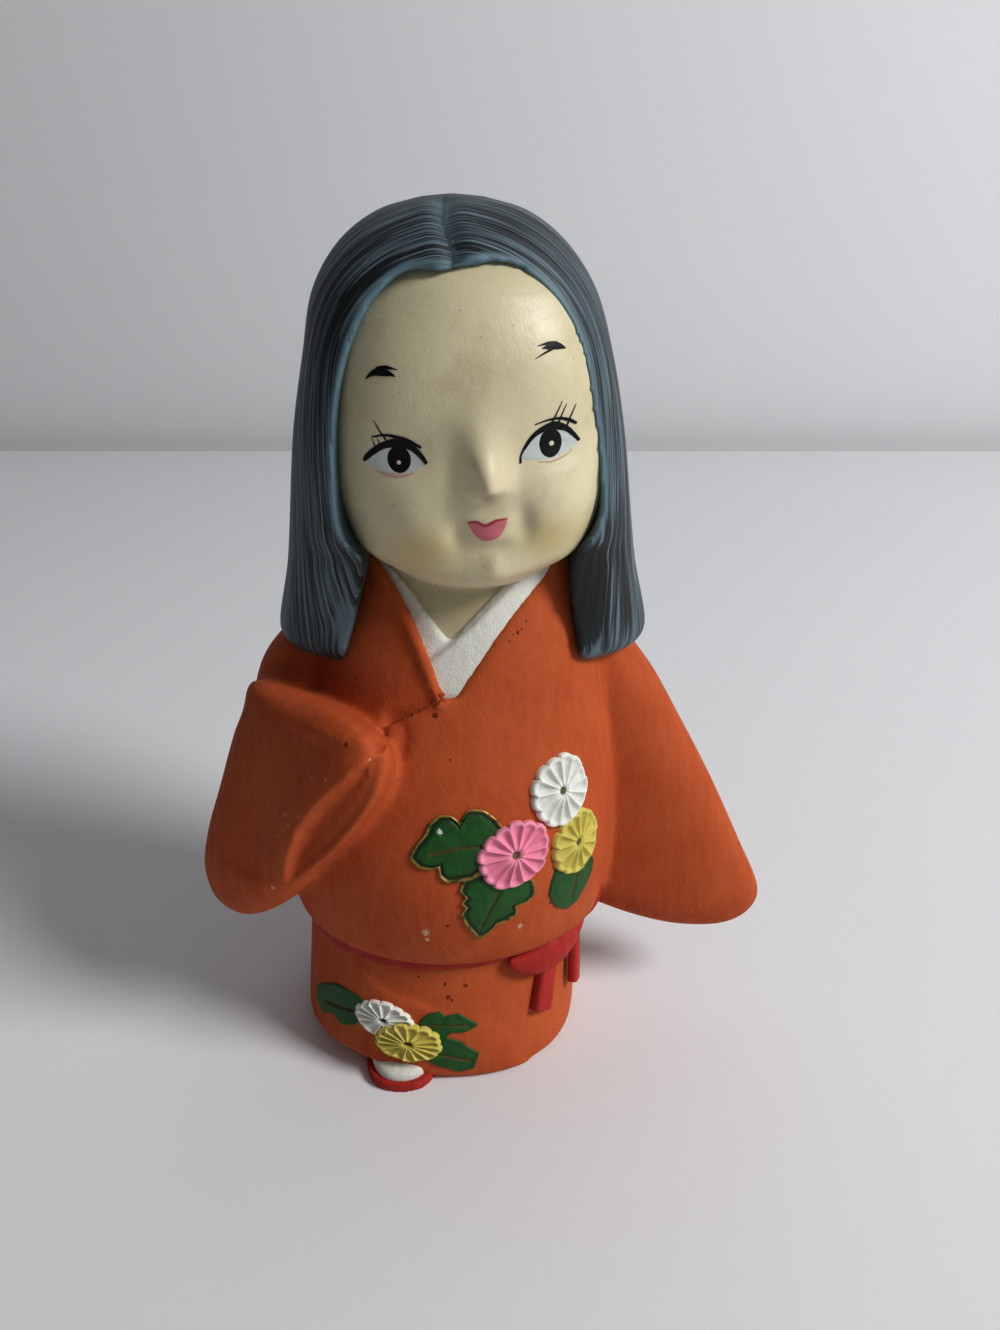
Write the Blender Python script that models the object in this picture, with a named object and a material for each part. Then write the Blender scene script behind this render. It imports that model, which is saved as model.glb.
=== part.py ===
# Painted clay doll of a standing girl in a flowered kimono, cast as one hollow piece.
# Units are metres, +Z is up and -Y is the front. The origin is the middle of the base.

import math

import bmesh
import bpy
from mathutils import Matrix, Vector
from mathutils.bvhtree import BVHTree

MM = 0.001

# Heights of the main levels above the base
UNDER_BULGE_Z = 27.5 * MM
BULGE_LIP_Z = 31.0 * MM
BULGE_WIDE_Z = 45.0 * MM
WAIST_Z = 60.0 * MM
CHEST_Z = 73.0 * MM
SHOULDER_Z = 88.0 * MM
COLLAR_Z = 100.0 * MM
NAPE_Z = 108.0 * MM
LOCK_END_Z = 87.0 * MM
CHIN_Z = 103.5 * MM
JAW_Z = 110.0 * MM
CHEEK_Z = 116.0 * MM
EYE_Z = 128.0 * MM
BROW_Z = 141.0 * MM
CROWN_Z = 166.0 * MM

# Skirt, from the hem up to where the kimono top hangs over it
SKIRT_CENTRE_X = 0.0 * MM
BODY_CENTRE_Y = -3.0 * MM
HEM_HALF_WIDTH = 29.0 * MM
HEM_FRONT = 27.5 * MM
HEM_BACK = 26.0 * MM
HEM_ROUND = 1.2 * MM
HEM_SQUARENESS = 2.5
SKIRT_TOP_HALF_WIDTH = 27.7 * MM
SKIRT_TOP_FRONT = 25.0 * MM
SKIRT_TOP_BACK = 24.5 * MM
PANEL_PROUD = 0.9 * MM
PANEL_TOP_X = -19.0 * MM
PANEL_END_X = 20.0 * MM

# Corner of the hem that lifts over the foot, above the tucked-in base
HEM_LIFT = 4.5 * MM
HEM_LIFT_REACH = 12.6 * MM
HEM_LIFT_SIDE = (-31.0 * MM, 2.0 * MM)
HEM_LIFT_FRONT = (4.0 * MM, -31.0 * MM)
HEM_TUCK = 2.6 * MM

# Kimono top: half width, front depth and back depth at each level
BULGE_CENTRE_X = 2.0 * MM
LIP_HALF_WIDTH = 33.0 * MM
LIP_FRONT = 28.3 * MM
LIP_BACK = 27.0 * MM
LIP_TUCK = 5.0 * MM
BULGE_HALF_WIDTH = 34.3 * MM
BULGE_FRONT = 31.0 * MM
BULGE_BACK = 28.0 * MM
WAIST_HALF_WIDTH = 32.5 * MM
WAIST_FRONT = 28.0 * MM
WAIST_BACK = 27.0 * MM
CHEST_CENTRE_X = 4.5 * MM
CHEST_HALF_WIDTH = 30.0 * MM
CHEST_FRONT = 23.5 * MM
CHEST_BACK = 25.0 * MM
SHOULDER_HALF_WIDTH = 27.0 * MM
SHOULDER_FRONT = 18.5 * MM
SHOULDER_BACK = 21.0 * MM
NECK_CENTRE_X = 7.3 * MM
COLLAR_HALF_WIDTH = 22.0 * MM
COLLAR_FRONT = 15.0 * MM
COLLAR_BACK = 15.0 * MM
NAPE_HALF_WIDTH = 20.0 * MM
NAPE_FRONT = 12.5 * MM
NAPE_BACK = 13.0 * MM

# Neckline: two nested layers showing in a V
LAYER_STEP = 1.2 * MM
NECK_V_X = 2.9 * MM
NECK_V_Z = 83.4 * MM
NECK_V_TOP_X = 6.3 * MM
NECK_V_HALF_WIDTH = 16.3 * MM
SKIN_V_X = 4.0 * MM
SKIN_V_Z = 94.0 * MM
SKIN_V_HALF_WIDTH = 13.8 * MM
OVERLAP_END_X = -9.5 * MM
OVERLAP_END_Z = 76.5 * MM
GROOVE_RADIUS = 0.5 * MM

# Head inside the hair
FACE_CENTRE_X = 7.5 * MM
FACE_CENTRE_Y = -1.0 * MM
FACE_HALF_WIDTH = 25.0 * MM
FACE_FRONT = 24.6 * MM
HEAD_BACK = 18.0 * MM
HEAD_SQUARENESS = 2.65
JAW_HALF_WIDTH = 21.5 * MM
CHIN_HALF_WIDTH = 11.0 * MM
FACE_ROLL = math.radians(6.0)
FACE_TURN_X = 2.2 * MM
EYE_SPAN = 12.2 * MM
NOSE_HEIGHT = 4.0 * MM
NOSE_WIDTH = 6.6 * MM
NOSE_LENGTH = 12.0 * MM
NOSE_DROP = 4.5 * MM
NOSE_SEAT = 2.6 * MM
NOSE_LEAN = math.radians(14)
CHEEK_FULLNESS = 0.9 * MM
SOCKET_DEPTH = 0.7 * MM
LIP_FULLNESS = 0.6 * MM
CHIN_FULLNESS = 1.2 * MM

# Hair outside: centre, half width, front and back at each level
HAIR_CENTRE_X = 5.4 * MM
HAIR_CENTRE_Y = 2.0 * MM
HAIR_END_HALF_WIDTH = 35.8 * MM
HAIR_END_FRONT = 21.5 * MM
HAIR_CHIN_HALF_WIDTH = 33.0 * MM
HAIR_CHIN_FRONT = 25.0 * MM
HAIR_EYE_HALF_WIDTH = 29.7 * MM
HAIR_EYE_FRONT = 28.0 * MM
HAIR_BROW_HALF_WIDTH = 27.0 * MM
HAIR_BROW_FRONT = 27.5 * MM
HAIR_BACK = 27.0 * MM
HAIR_SQUARENESS = 2.5
PARTING_X = 4.6 * MM
PARTING_RADIUS = 0.8 * MM
BACK_HAIR_END_Z = 58.0 * MM
BACK_HAIR_HALF_WIDTH = 23.0 * MM
BACK_HAIR_DEPTH = 31.5 * MM

# Opening of the hair round the face and, below it, between the side locks
WINDOW_CENTRE_X = 7.2 * MM
WINDOW_TOP_Z = 155.4 * MM
WINDOW_PEAK = 2.0 * MM
WINDOW_HALF_WIDTH = 21.8 * MM
LOCK_GAP_HALF_WIDTH = 17.9 * MM
LOCK_STEP_Z = 110.0 * MM
WINDOW_REAR_Y = -4.0 * MM
PRISM_FRONT_Y = -100.0 * MM

# Sleeve of the bent arm: outer edge, inner edge and thickness
BENT_TOP_Z = 82.5 * MM
BENT_BOTTOM_Z = 33.0 * MM
BENT_ELBOW_X = -37.5 * MM
BENT_ELBOW_Y = -7.0 * MM
BENT_WRIST_X = -8.0 * MM
BENT_WRIST_Y = -34.5 * MM
BENT_CORNER_X = -47.0 * MM
BENT_CORNER_Y = -10.0 * MM
BENT_MOUTH_END_X = -28.0 * MM
BENT_MOUTH_END_Y = -25.0 * MM
BENT_THICK = 15.0 * MM
BENT_FILL = 9.0 * MM
UPPER_ARM_TOP_Z = 96.0 * MM
UPPER_ARM_X = -22.0 * MM
UPPER_ARM_Y = 2.0 * MM
UPPER_ARM_THICK = 19.0 * MM
MOUTH_EDGE = 1.6 * MM
MOUTH_TOP_DROP = 5.0 * MM
MOUTH_END_RISE = 14.0 * MM
MOUTH_DEPTH = 3.2 * MM
MOUTH_HALF_WIDTH = 4.2 * MM

# Sleeve of the straight arm
HANG_TOP_Z = 95.0 * MM
HANG_BOTTOM_Z = 18.0 * MM
HANG_CORNER_X = 69.5 * MM
HANG_CORNER_Z = 27.5 * MM
HANG_ARMPIT_X = 27.0 * MM
HANG_SHOULDER_X = 41.5 * MM
HANG_SWELL = 1.6 * MM
HANG_Y = -2.5 * MM
HANG_THICK = 17.0 * MM

# Sash, its bow and its two ends
SASH_BOTTOM_Z = 25.0 * MM
SASH_PROUD = 1.3 * MM
BOW_X = 20.5 * MM
BOW_Z = 28.5 * MM
BOW_LENGTH = 15.0 * MM
BOW_HEIGHT = 9.5 * MM
BOW_THICK = 4.6 * MM
BOW_TILT = math.radians(18)
TAIL_WIDTH = 4.6 * MM
TAIL_THICK = 2.6 * MM
TAIL_ONE_X = 21.5 * MM
TAIL_ONE_END_Z = 12.5 * MM
TAIL_TWO_X = 26.9 * MM
TAIL_TWO_END_Z = 15.5 * MM

# Foot showing under the hem
FOOT_X = -7.5 * MM
FOOT_FRONT_Y = -34.3 * MM
FOOT_LENGTH = 22.0 * MM
FOOT_WIDTH = 15.5 * MM
SOLE_THICK = 2.2 * MM
SOCK_HEIGHT = 5.0 * MM

# Chrysanthemums and leaves in low relief
PETALS = 14
FLOWER_RADIUS = 7.0 * MM
FLOWER_PROUD = 1.0 * MM
LEAF_LENGTH = 15.0 * MM
LEAF_WIDTH = 11.5 * MM
LEAF_PROUD = 0.6 * MM
LEAF_LOBE = 0.13
RELIEF_SINK = 1.0 * MM
WHITE_FLOWER = (23.6 * MM, 65.2 * MM)
WHITE_FLOWER_STRETCH = 1.12
PINK_FLOWER = (15.6 * MM, 55.5 * MM)
YELLOW_FLOWER = (27.2 * MM, 54.0 * MM)
LEFT_LEAF = (4.6 * MM, 57.6 * MM)
LOW_LEAF = (11.4 * MM, 44.2 * MM)
SIDE_LEAF = (26.4 * MM, 45.2 * MM)
HEM_WHITE_FLOWER = (-10.6 * MM, 14.6 * MM)
HEM_YELLOW_FLOWER = (-5.4 * MM, 9.6 * MM)
HEM_LEFT_LEAF = (-19.8 * MM, 13.6 * MM)
HEM_HIGH_LEAF = (2.6 * MM, 13.6 * MM)
HEM_LOW_LEAF = (3.8 * MM, 6.9 * MM)
HEM_LEAF_SIZE = 0.72
HEM_FLOWER_STRETCH = 0.72

# Casting: wall of the shell and the vent in the base
WALL = 5.0 * MM
VENT_RADIUS = 7.0 * MM
VENT_Y = 10.5 * MM
BASE_THICK = 5.0 * MM
HOLLOW_MARGIN = 1.5 * MM
HOLLOW_NECK_FRONT = 12.0 * MM
HOLLOW_JAW_FRONT = 14.0 * MM
CUT_PAST = 1.0 * MM

# Fineness of the faces
RING_POINTS = 34
RING_STEP = 8.0 * MM


# Collections, materials and mesh helpers

def start_clean():
    for item in list(bpy.data.objects):
        bpy.data.objects.remove(item, do_unlink=True)


def make_collection(name):
    collection = bpy.data.collections.new(name)
    bpy.context.scene.collection.children.link(collection)
    return collection


def clay_material(name, colour, roughness):
    material = bpy.data.materials.new(name)
    material.use_nodes = True
    shader = material.node_tree.nodes["Principled BSDF"]
    shader.inputs["Base Color"].default_value = (*colour, 1.0)
    shader.inputs["Roughness"].default_value = roughness
    shader.inputs["Metallic"].default_value = 0.0
    return material


def add_object(name, mesh_data, collection):
    item = bpy.data.objects.new(name, mesh_data)
    collection.objects.link(item)
    return item


def object_from_bmesh(name, bm, collection):
    bmesh.ops.recalc_face_normals(bm, faces=bm.faces)
    mesh = bpy.data.meshes.new(name)
    bm.to_mesh(mesh)
    bm.free()
    return add_object(name, mesh, collection)


# Ring sections: (z, centre x, centre y, half width, front, back, squareness, turn)

def section(z, x, y, half_width, front, back, square=2.0, turn=0.0):
    return (z, x, y, half_width, front, back, square, turn)


def strap_section(z, inner, outer, thick, fill=0.0, square=2.2):
    # A flat oval from an inner point to an outer point, seen from above, thicker behind by fill
    span = Vector(outer) - Vector(inner)
    middle = (Vector(outer) + Vector(inner)) / 2
    turn = math.atan(span.y / span.x)
    return section(z, middle.x, middle.y, span.length / 2, thick / 2, thick / 2 + fill, square,
                   turn)


def ring_points(ring, count):
    z, x, y, half_width, front, back, square, turn = ring
    points = []
    for index in range(count):
        angle = 2 * math.pi * index / count
        across = math.copysign(abs(math.cos(angle)) ** (2 / square), math.cos(angle))
        along = math.copysign(abs(math.sin(angle)) ** (2 / square), math.sin(angle))
        right = across * half_width
        rear = along * (back if along > 0 else front)
        points.append(Vector((x + right * math.cos(turn) - rear * math.sin(turn),
                              y + right * math.sin(turn) + rear * math.cos(turn), z)))
    return points


def gap_between(first, second):
    # Distance between two sections, by their lengths and not their squareness or turn
    return math.dist(first[:6], second[:6])


def flow_through(rings, step):
    # Smooth chain of sections through the given ones, by centripetal Catmull-Rom spans
    rows = [Vector(ring) for ring in rings]
    knots = [0.0]
    for first, second in zip(rows, rows[1:]):
        knots.append(knots[-1] + math.sqrt(gap_between(first, second)))
    slopes = []
    for index in range(len(rows)):
        low = max(index - 1, 0)
        high = min(index + 1, len(rows) - 1)
        slope = (rows[high] - rows[low]) / (knots[high] - knots[low])
        if low < index < high:
            before = (rows[index] - rows[low]) / (knots[index] - knots[low])
            after = (rows[high] - rows[index]) / (knots[high] - knots[index])
            slope = before + after - slope
        slopes.append(slope)
    chain = []
    for index in range(len(rows) - 1):
        width = knots[index + 1] - knots[index]
        parts = max(1, round(gap_between(rows[index], rows[index + 1]) / step))
        for part in range(parts):
            t = part / parts
            chain.append((2 * t ** 3 - 3 * t ** 2 + 1) * rows[index]
                         + (t ** 3 - 2 * t ** 2 + t) * width * slopes[index]
                         + (3 * t ** 2 - 2 * t ** 3) * rows[index + 1]
                         + (t ** 3 - t ** 2) * width * slopes[index + 1])
    chain.append(rows[-1])
    return [tuple(row) for row in chain]


def loft(name, rings, collection, count=RING_POINTS, step=RING_STEP, end_pole=None):
    # Closed skin over the sections, from the lowest to the highest
    bm = bmesh.new()
    loops = []
    for ring in flow_through(rings, step):
        loops.append([bm.verts.new(point) for point in ring_points(ring, count)])
    for lower, upper in zip(loops, loops[1:]):
        for index in range(count):
            after = (index + 1) % count
            bm.faces.new((lower[index], lower[after], upper[after], upper[index]))
    cap_with_pole(bm, loops[0], None)
    cap_with_pole(bm, loops[-1], end_pole)
    return object_from_bmesh(name, bm, collection)


def cap_with_pole(bm, loop, pole):
    middle = sum((vert.co for vert in loop), Vector()) / len(loop)
    centre = bm.verts.new(pole if pole else middle)
    for index, vert in enumerate(loop):
        bm.faces.new((vert, loop[(index + 1) % len(loop)], centre))


def split_to_triangles(mesh):
    bm = bmesh.new()
    bm.from_mesh(mesh)
    bmesh.ops.triangulate(bm, faces=bm.faces)
    bm.to_mesh(mesh)
    bm.free()


def combine(target, other, operation):
    # Boolean kept as the target's new mesh, in triangles so that no bent face is cut again
    modifier = target.modifiers.new(operation.title(), "BOOLEAN")
    modifier.operation = operation
    modifier.solver = "MANIFOLD"
    modifier.object = other
    depsgraph = bpy.context.evaluated_depsgraph_get()
    depsgraph.update()
    result = bpy.data.meshes.new_from_object(target.evaluated_get(depsgraph))
    target.modifiers.clear()
    target.data = result
    split_to_triangles(result)


def use_up(target, other, operation):
    combine(target, other, operation)
    bpy.data.objects.remove(other, do_unlink=True)


def surface_tree(item):
    bm = bmesh.new()
    bm.from_mesh(item.data)
    tree = BVHTree.FromBMesh(bm)
    bm.free()
    return tree


def front_point(tree, x, z):
    # Where a line running straight back from the front meets the surface
    spot, normal, _, _ = tree.ray_cast(Vector((x, -1.0, z)), Vector((0, 1, 0)))
    return spot, normal


# Sections of the body, which the kimono, the collars and the casting hollow share

def kimono_sections():
    lip_middle = (UNDER_BULGE_Z + BULGE_LIP_Z) / 2
    return [
        section(UNDER_BULGE_Z, BULGE_CENTRE_X, BODY_CENTRE_Y, LIP_HALF_WIDTH - LIP_TUCK,
                LIP_FRONT - LIP_TUCK, LIP_BACK - LIP_TUCK),
        section(lip_middle, BULGE_CENTRE_X, BODY_CENTRE_Y, LIP_HALF_WIDTH - LIP_TUCK * 0.2,
                LIP_FRONT - LIP_TUCK * 0.2, LIP_BACK - LIP_TUCK * 0.2),
        section(BULGE_LIP_Z, BULGE_CENTRE_X, BODY_CENTRE_Y, LIP_HALF_WIDTH, LIP_FRONT, LIP_BACK),
        section(BULGE_WIDE_Z, BULGE_CENTRE_X, BODY_CENTRE_Y, BULGE_HALF_WIDTH,
                BULGE_FRONT, BULGE_BACK),
        section(WAIST_Z, (BULGE_CENTRE_X + CHEST_CENTRE_X) / 2, BODY_CENTRE_Y, WAIST_HALF_WIDTH,
                WAIST_FRONT, WAIST_BACK),
        section(CHEST_Z, CHEST_CENTRE_X, BODY_CENTRE_Y, CHEST_HALF_WIDTH, CHEST_FRONT, CHEST_BACK),
        section(SHOULDER_Z, (CHEST_CENTRE_X + NECK_CENTRE_X) / 2, BODY_CENTRE_Y,
                SHOULDER_HALF_WIDTH, SHOULDER_FRONT, SHOULDER_BACK),
        section(COLLAR_Z, NECK_CENTRE_X, BODY_CENTRE_Y, COLLAR_HALF_WIDTH, COLLAR_FRONT,
                COLLAR_BACK),
        section(NAPE_Z, NECK_CENTRE_X, BODY_CENTRE_Y, NAPE_HALF_WIDTH, NAPE_FRONT, NAPE_BACK),
    ]


def inset(ring, amount):
    z, x, y, half_width, front, back, square, turn = ring
    return (z, x, y, half_width - amount, front - amount, back - amount, square, turn)


def head_sections():
    x = FACE_CENTRE_X
    y = FACE_CENTRE_Y
    full_z = (CHEEK_Z + EYE_Z) / 2
    low_z = (CHIN_Z + JAW_Z) / 2
    top_z = WINDOW_TOP_Z + 4.5 * MM
    temple_z = (BROW_Z + top_z) / 2
    square = HEAD_SQUARENESS
    return [
        section(CHIN_Z, x, y - 9.0 * MM, CHIN_HALF_WIDTH * 0.35, 4.0 * MM, 6.0 * MM),
        section(CHIN_Z + 1.2 * MM, x, y - 7.0 * MM, CHIN_HALF_WIDTH, 11.2 * MM, 12.0 * MM),
        section(low_z, x, y - 3.0 * MM, (CHIN_HALF_WIDTH + JAW_HALF_WIDTH) / 2, 18.0 * MM,
                HEAD_BACK * 0.8, 2.15),
        section(JAW_Z, x, y, JAW_HALF_WIDTH, FACE_FRONT * 0.93, HEAD_BACK, square),
        section(CHEEK_Z, x, y, FACE_HALF_WIDTH * 0.95, FACE_FRONT * 0.98, HEAD_BACK, square),
        section(full_z, x, y, FACE_HALF_WIDTH * 0.99, FACE_FRONT, HEAD_BACK, square),
        section(EYE_Z, x, y, FACE_HALF_WIDTH, FACE_FRONT, HEAD_BACK, square),
        section(BROW_Z, x, y, FACE_HALF_WIDTH * 0.95, FACE_FRONT * 0.98, HEAD_BACK, square),
        section(temple_z, x, y, FACE_HALF_WIDTH * 0.87, FACE_FRONT * 0.85, HEAD_BACK * 0.8),
        section(WINDOW_TOP_Z, x, y, FACE_HALF_WIDTH * 0.69, FACE_FRONT * 0.66, HEAD_BACK * 0.6),
        section(top_z, x, y, FACE_HALF_WIDTH * 0.2, FACE_FRONT * 0.24, HEAD_BACK * 0.2),
    ]


def hair_sections():
    x = HAIR_CENTRE_X
    y = HAIR_CENTRE_Y
    crown = CROWN_Z
    dome = crown - BROW_Z
    square = HAIR_SQUARENESS
    return [
        section(LOCK_END_Z, x, y, HAIR_END_HALF_WIDTH - 1.5 * MM, HAIR_END_FRONT - 1.5 * MM,
                HAIR_BACK - 2.5 * MM, square),
        section(LOCK_END_Z + 2.0 * MM, x, y, HAIR_END_HALF_WIDTH, HAIR_END_FRONT,
                HAIR_BACK - 1.0 * MM, square),
        section(CHIN_Z, x, y, HAIR_CHIN_HALF_WIDTH, HAIR_CHIN_FRONT, HAIR_BACK, square),
        section(EYE_Z, x, y, HAIR_EYE_HALF_WIDTH, HAIR_EYE_FRONT, HAIR_BACK, square),
        section(BROW_Z, x, y, HAIR_BROW_HALF_WIDTH, HAIR_BROW_FRONT, HAIR_BACK * 0.96, square),
        section(crown - dome * 0.62, x - 0.5 * MM, y, HAIR_BROW_HALF_WIDTH * 0.91,
                HAIR_BROW_FRONT * 0.89, HAIR_BACK * 0.87, 2.3),
        section(crown - dome * 0.32, x - 0.8 * MM, y, HAIR_BROW_HALF_WIDTH * 0.73,
                HAIR_BROW_FRONT * 0.71, HAIR_BACK * 0.68, 2.1),
        section(crown - dome * 0.12, x - 0.8 * MM, y, HAIR_BROW_HALF_WIDTH * 0.48,
                HAIR_BROW_FRONT * 0.46, HAIR_BACK * 0.44),
        section(crown - dome * 0.02, x - 0.8 * MM, y, HAIR_BROW_HALF_WIDTH * 0.20,
                HAIR_BROW_FRONT * 0.20, HAIR_BACK * 0.18),
    ]


# Forms of the figure

def make_skirt(scratch):
    x = SKIRT_CENTRE_X
    y = BODY_CENTRE_Y
    top = (UNDER_BULGE_Z + BULGE_WIDE_Z) / 2
    rings = [
        section(0.0, x, y, HEM_HALF_WIDTH - HEM_ROUND, HEM_FRONT - HEM_ROUND,
                HEM_BACK - HEM_ROUND, HEM_SQUARENESS),
        section(HEM_ROUND, x, y, HEM_HALF_WIDTH, HEM_FRONT, HEM_BACK, HEM_SQUARENESS),
        section(SASH_BOTTOM_Z, x, y, SKIRT_TOP_HALF_WIDTH, SKIRT_TOP_FRONT, SKIRT_TOP_BACK, 2.2),
        section(top, x, y, SKIRT_TOP_HALF_WIDTH, SKIRT_TOP_FRONT, SKIRT_TOP_BACK, 2.0),
    ]
    return loft("skirt", rings, scratch)


def make_sash(scratch):
    x = SKIRT_CENTRE_X
    y = BODY_CENTRE_Y
    half_width = SKIRT_TOP_HALF_WIDTH + SASH_PROUD
    front = SKIRT_TOP_FRONT + SASH_PROUD
    back = SKIRT_TOP_BACK + SASH_PROUD
    rings = [section(z, x, y, half_width, front, back, 2.1)
             for z in (SASH_BOTTOM_Z, BULGE_LIP_Z + SASH_PROUD)]
    return loft("sash", rings, scratch)


def make_panel(scratch):
    # Wrapped front edge of the skirt: the same skin set proud, left and below one curve
    x = SKIRT_CENTRE_X
    y = BODY_CENTRE_Y
    rings = [
        section(0.0, x, y, HEM_HALF_WIDTH - HEM_ROUND + PANEL_PROUD,
                HEM_FRONT - HEM_ROUND + PANEL_PROUD, HEM_BACK - HEM_ROUND, HEM_SQUARENESS),
        section(HEM_ROUND, x, y, HEM_HALF_WIDTH + PANEL_PROUD, HEM_FRONT + PANEL_PROUD, HEM_BACK,
                HEM_SQUARENESS),
        section(SASH_BOTTOM_Z, x, y, SKIRT_TOP_HALF_WIDTH + PANEL_PROUD,
                SKIRT_TOP_FRONT + PANEL_PROUD, SKIRT_TOP_BACK, 2.2),
        section(BULGE_LIP_Z, x, y, SKIRT_TOP_HALF_WIDTH + PANEL_PROUD,
                SKIRT_TOP_FRONT + PANEL_PROUD, SKIRT_TOP_BACK, 2.0),
    ]
    panel = loft("panel", rings, scratch)
    reach = PANEL_END_X - PANEL_TOP_X
    curve = flow_through([
        (PANEL_TOP_X, BULGE_LIP_Z + 2.0 * MM),
        (PANEL_TOP_X + reach * 0.14, SASH_BOTTOM_Z),
        (PANEL_TOP_X + reach * 0.45, SASH_BOTTOM_Z * 0.76),
        (PANEL_TOP_X + reach * 0.78, SASH_BOTTOM_Z * 0.52),
        (PANEL_END_X, -1.0 * MM),
    ], 5.0 * MM)
    corner_x = x - HEM_HALF_WIDTH * 1.5
    outline = curve + [(corner_x, -1.0 * MM), (corner_x, BULGE_LIP_Z + 2.0 * MM)]
    use_up(panel, prism("panel_side", outline, BODY_CENTRE_Y, scratch), "INTERSECT")
    return panel


def make_hem_lift(scratch):
    # Wedge of air between the lifted hem and the floor, outside the tucked-in base
    side = Vector((*HEM_LIFT_SIDE, 0.0))
    front = Vector((*HEM_LIFT_FRONT, 0.0))
    along = (front - side).normalized()
    out = Vector((along.y, -along.x, 0.0))
    slope = HEM_LIFT / HEM_LIFT_REACH
    reach = 3 * HEM_LIFT_REACH
    profile = [(-CUT_PAST / slope, -CUT_PAST), (reach, reach * slope), (reach, -CUT_PAST)]
    bm = bmesh.new()
    ends = []
    for place in (side - along * reach, front + along * reach):
        ends.append([bm.verts.new(place + out * away + Vector((0.0, 0.0, z)))
                     for away, z in profile])
    bm.faces.new(ends[0])
    bm.faces.new(list(reversed(ends[1])))
    for index in range(len(profile)):
        after = (index + 1) % len(profile)
        bm.faces.new((ends[0][index], ends[1][index], ends[1][after], ends[0][after]))
    wedge = object_from_bmesh("hem_lift", bm, scratch)
    core = loft("hem_core", [
        section(z, SKIRT_CENTRE_X, BODY_CENTRE_Y, HEM_HALF_WIDTH - HEM_TUCK,
                HEM_FRONT - HEM_TUCK, HEM_BACK, HEM_SQUARENESS)
        for z in (-2 * CUT_PAST, 2 * reach * slope)], scratch)
    use_up(wedge, core, "DIFFERENCE")
    return wedge


def prism(name, outline, rear_y, scratch):
    # Straight block behind a front-view outline, from well in front back to rear_y
    bm = bmesh.new()
    front = [bm.verts.new((x, PRISM_FRONT_Y, z)) for x, z in outline]
    rear = [bm.verts.new((x, rear_y, z)) for x, z in outline]
    bm.faces.new(front)
    bm.faces.new(list(reversed(rear)))
    for index in range(len(outline)):
        after = (index + 1) % len(outline)
        bm.faces.new((front[index], rear[index], rear[after], front[after]))
    return object_from_bmesh(name, bm, scratch)


def v_prism(name, tip_x, tip_z, half_width, scratch):
    top_z = NAPE_Z + 2 * MM
    outline = [(tip_x, tip_z), (NECK_V_TOP_X + half_width, top_z),
               (NECK_V_TOP_X - half_width, top_z)]
    return prism(name, outline, BODY_CENTRE_Y, scratch)


def make_kimono(scratch):
    kimono = loft("kimono", kimono_sections(), scratch)
    neck_v = v_prism("neck_v", NECK_V_X, NECK_V_Z, NECK_V_HALF_WIDTH, scratch)
    use_up(kimono, neck_v, "DIFFERENCE")
    return kimono


def make_under_collar(scratch):
    rings = [inset(ring, LAYER_STEP) for ring in kimono_sections()[4:]]
    collar = loft("under_collar", rings, scratch)
    skin_v = v_prism("skin_v", SKIN_V_X, SKIN_V_Z, SKIN_V_HALF_WIDTH, scratch)
    use_up(collar, skin_v, "DIFFERENCE")
    return collar


def make_neck(scratch):
    rings = [inset(ring, 2 * LAYER_STEP) for ring in kimono_sections()[5:]]
    return loft("neck", rings, scratch)


def face_push(x, z):
    # How far the face stands forward of the plain head, from soft dabs of clay
    roll_x = (x - FACE_CENTRE_X) * math.cos(FACE_ROLL) + (z - EYE_Z) * math.sin(FACE_ROLL)
    roll_z = (z - EYE_Z) * math.cos(FACE_ROLL) - (x - FACE_CENTRE_X) * math.sin(FACE_ROLL)
    dabs = [
        (FACE_TURN_X, -5.0 * MM, 4.0 * MM, 6.0 * MM, NOSE_HEIGHT * 0.25),
        (FACE_TURN_X - EYE_SPAN, -1.0 * MM, 4.5 * MM, 3.2 * MM, -SOCKET_DEPTH),
        (FACE_TURN_X + EYE_SPAN, -1.0 * MM, 4.5 * MM, 3.2 * MM, -SOCKET_DEPTH),
        (FACE_TURN_X - 11.0 * MM, -12.5 * MM, 5.5 * MM, 5.0 * MM, CHEEK_FULLNESS),
        (FACE_TURN_X + 11.0 * MM, -12.5 * MM, 5.5 * MM, 5.0 * MM, CHEEK_FULLNESS),
        (FACE_TURN_X, -13.0 * MM, 3.4 * MM, 1.8 * MM, LIP_FULLNESS),
        (FACE_TURN_X, -20.5 * MM, 5.0 * MM, 3.4 * MM, CHIN_FULLNESS),
    ]
    push = 0.0
    for dab_x, dab_z, wide, tall, height in dabs:
        away = ((roll_x - dab_x) / wide) ** 2 + ((roll_z - dab_z) / tall) ** 2
        push += height * math.exp(-away)
    return push


def make_head(scratch):
    rings = head_sections()
    pole = Vector((FACE_CENTRE_X, FACE_CENTRE_Y, rings[-1][0] + 0.6 * MM))
    head = loft("head", rings, scratch, count=52, step=3.2 * MM, end_pole=pole)
    for vert in head.data.vertices:
        if vert.co.y < FACE_CENTRE_Y:
            vert.co.y -= face_push(vert.co.x, vert.co.z)
    use_up(head, make_nose(surface_tree(head), scratch), "UNION")
    return head


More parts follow.
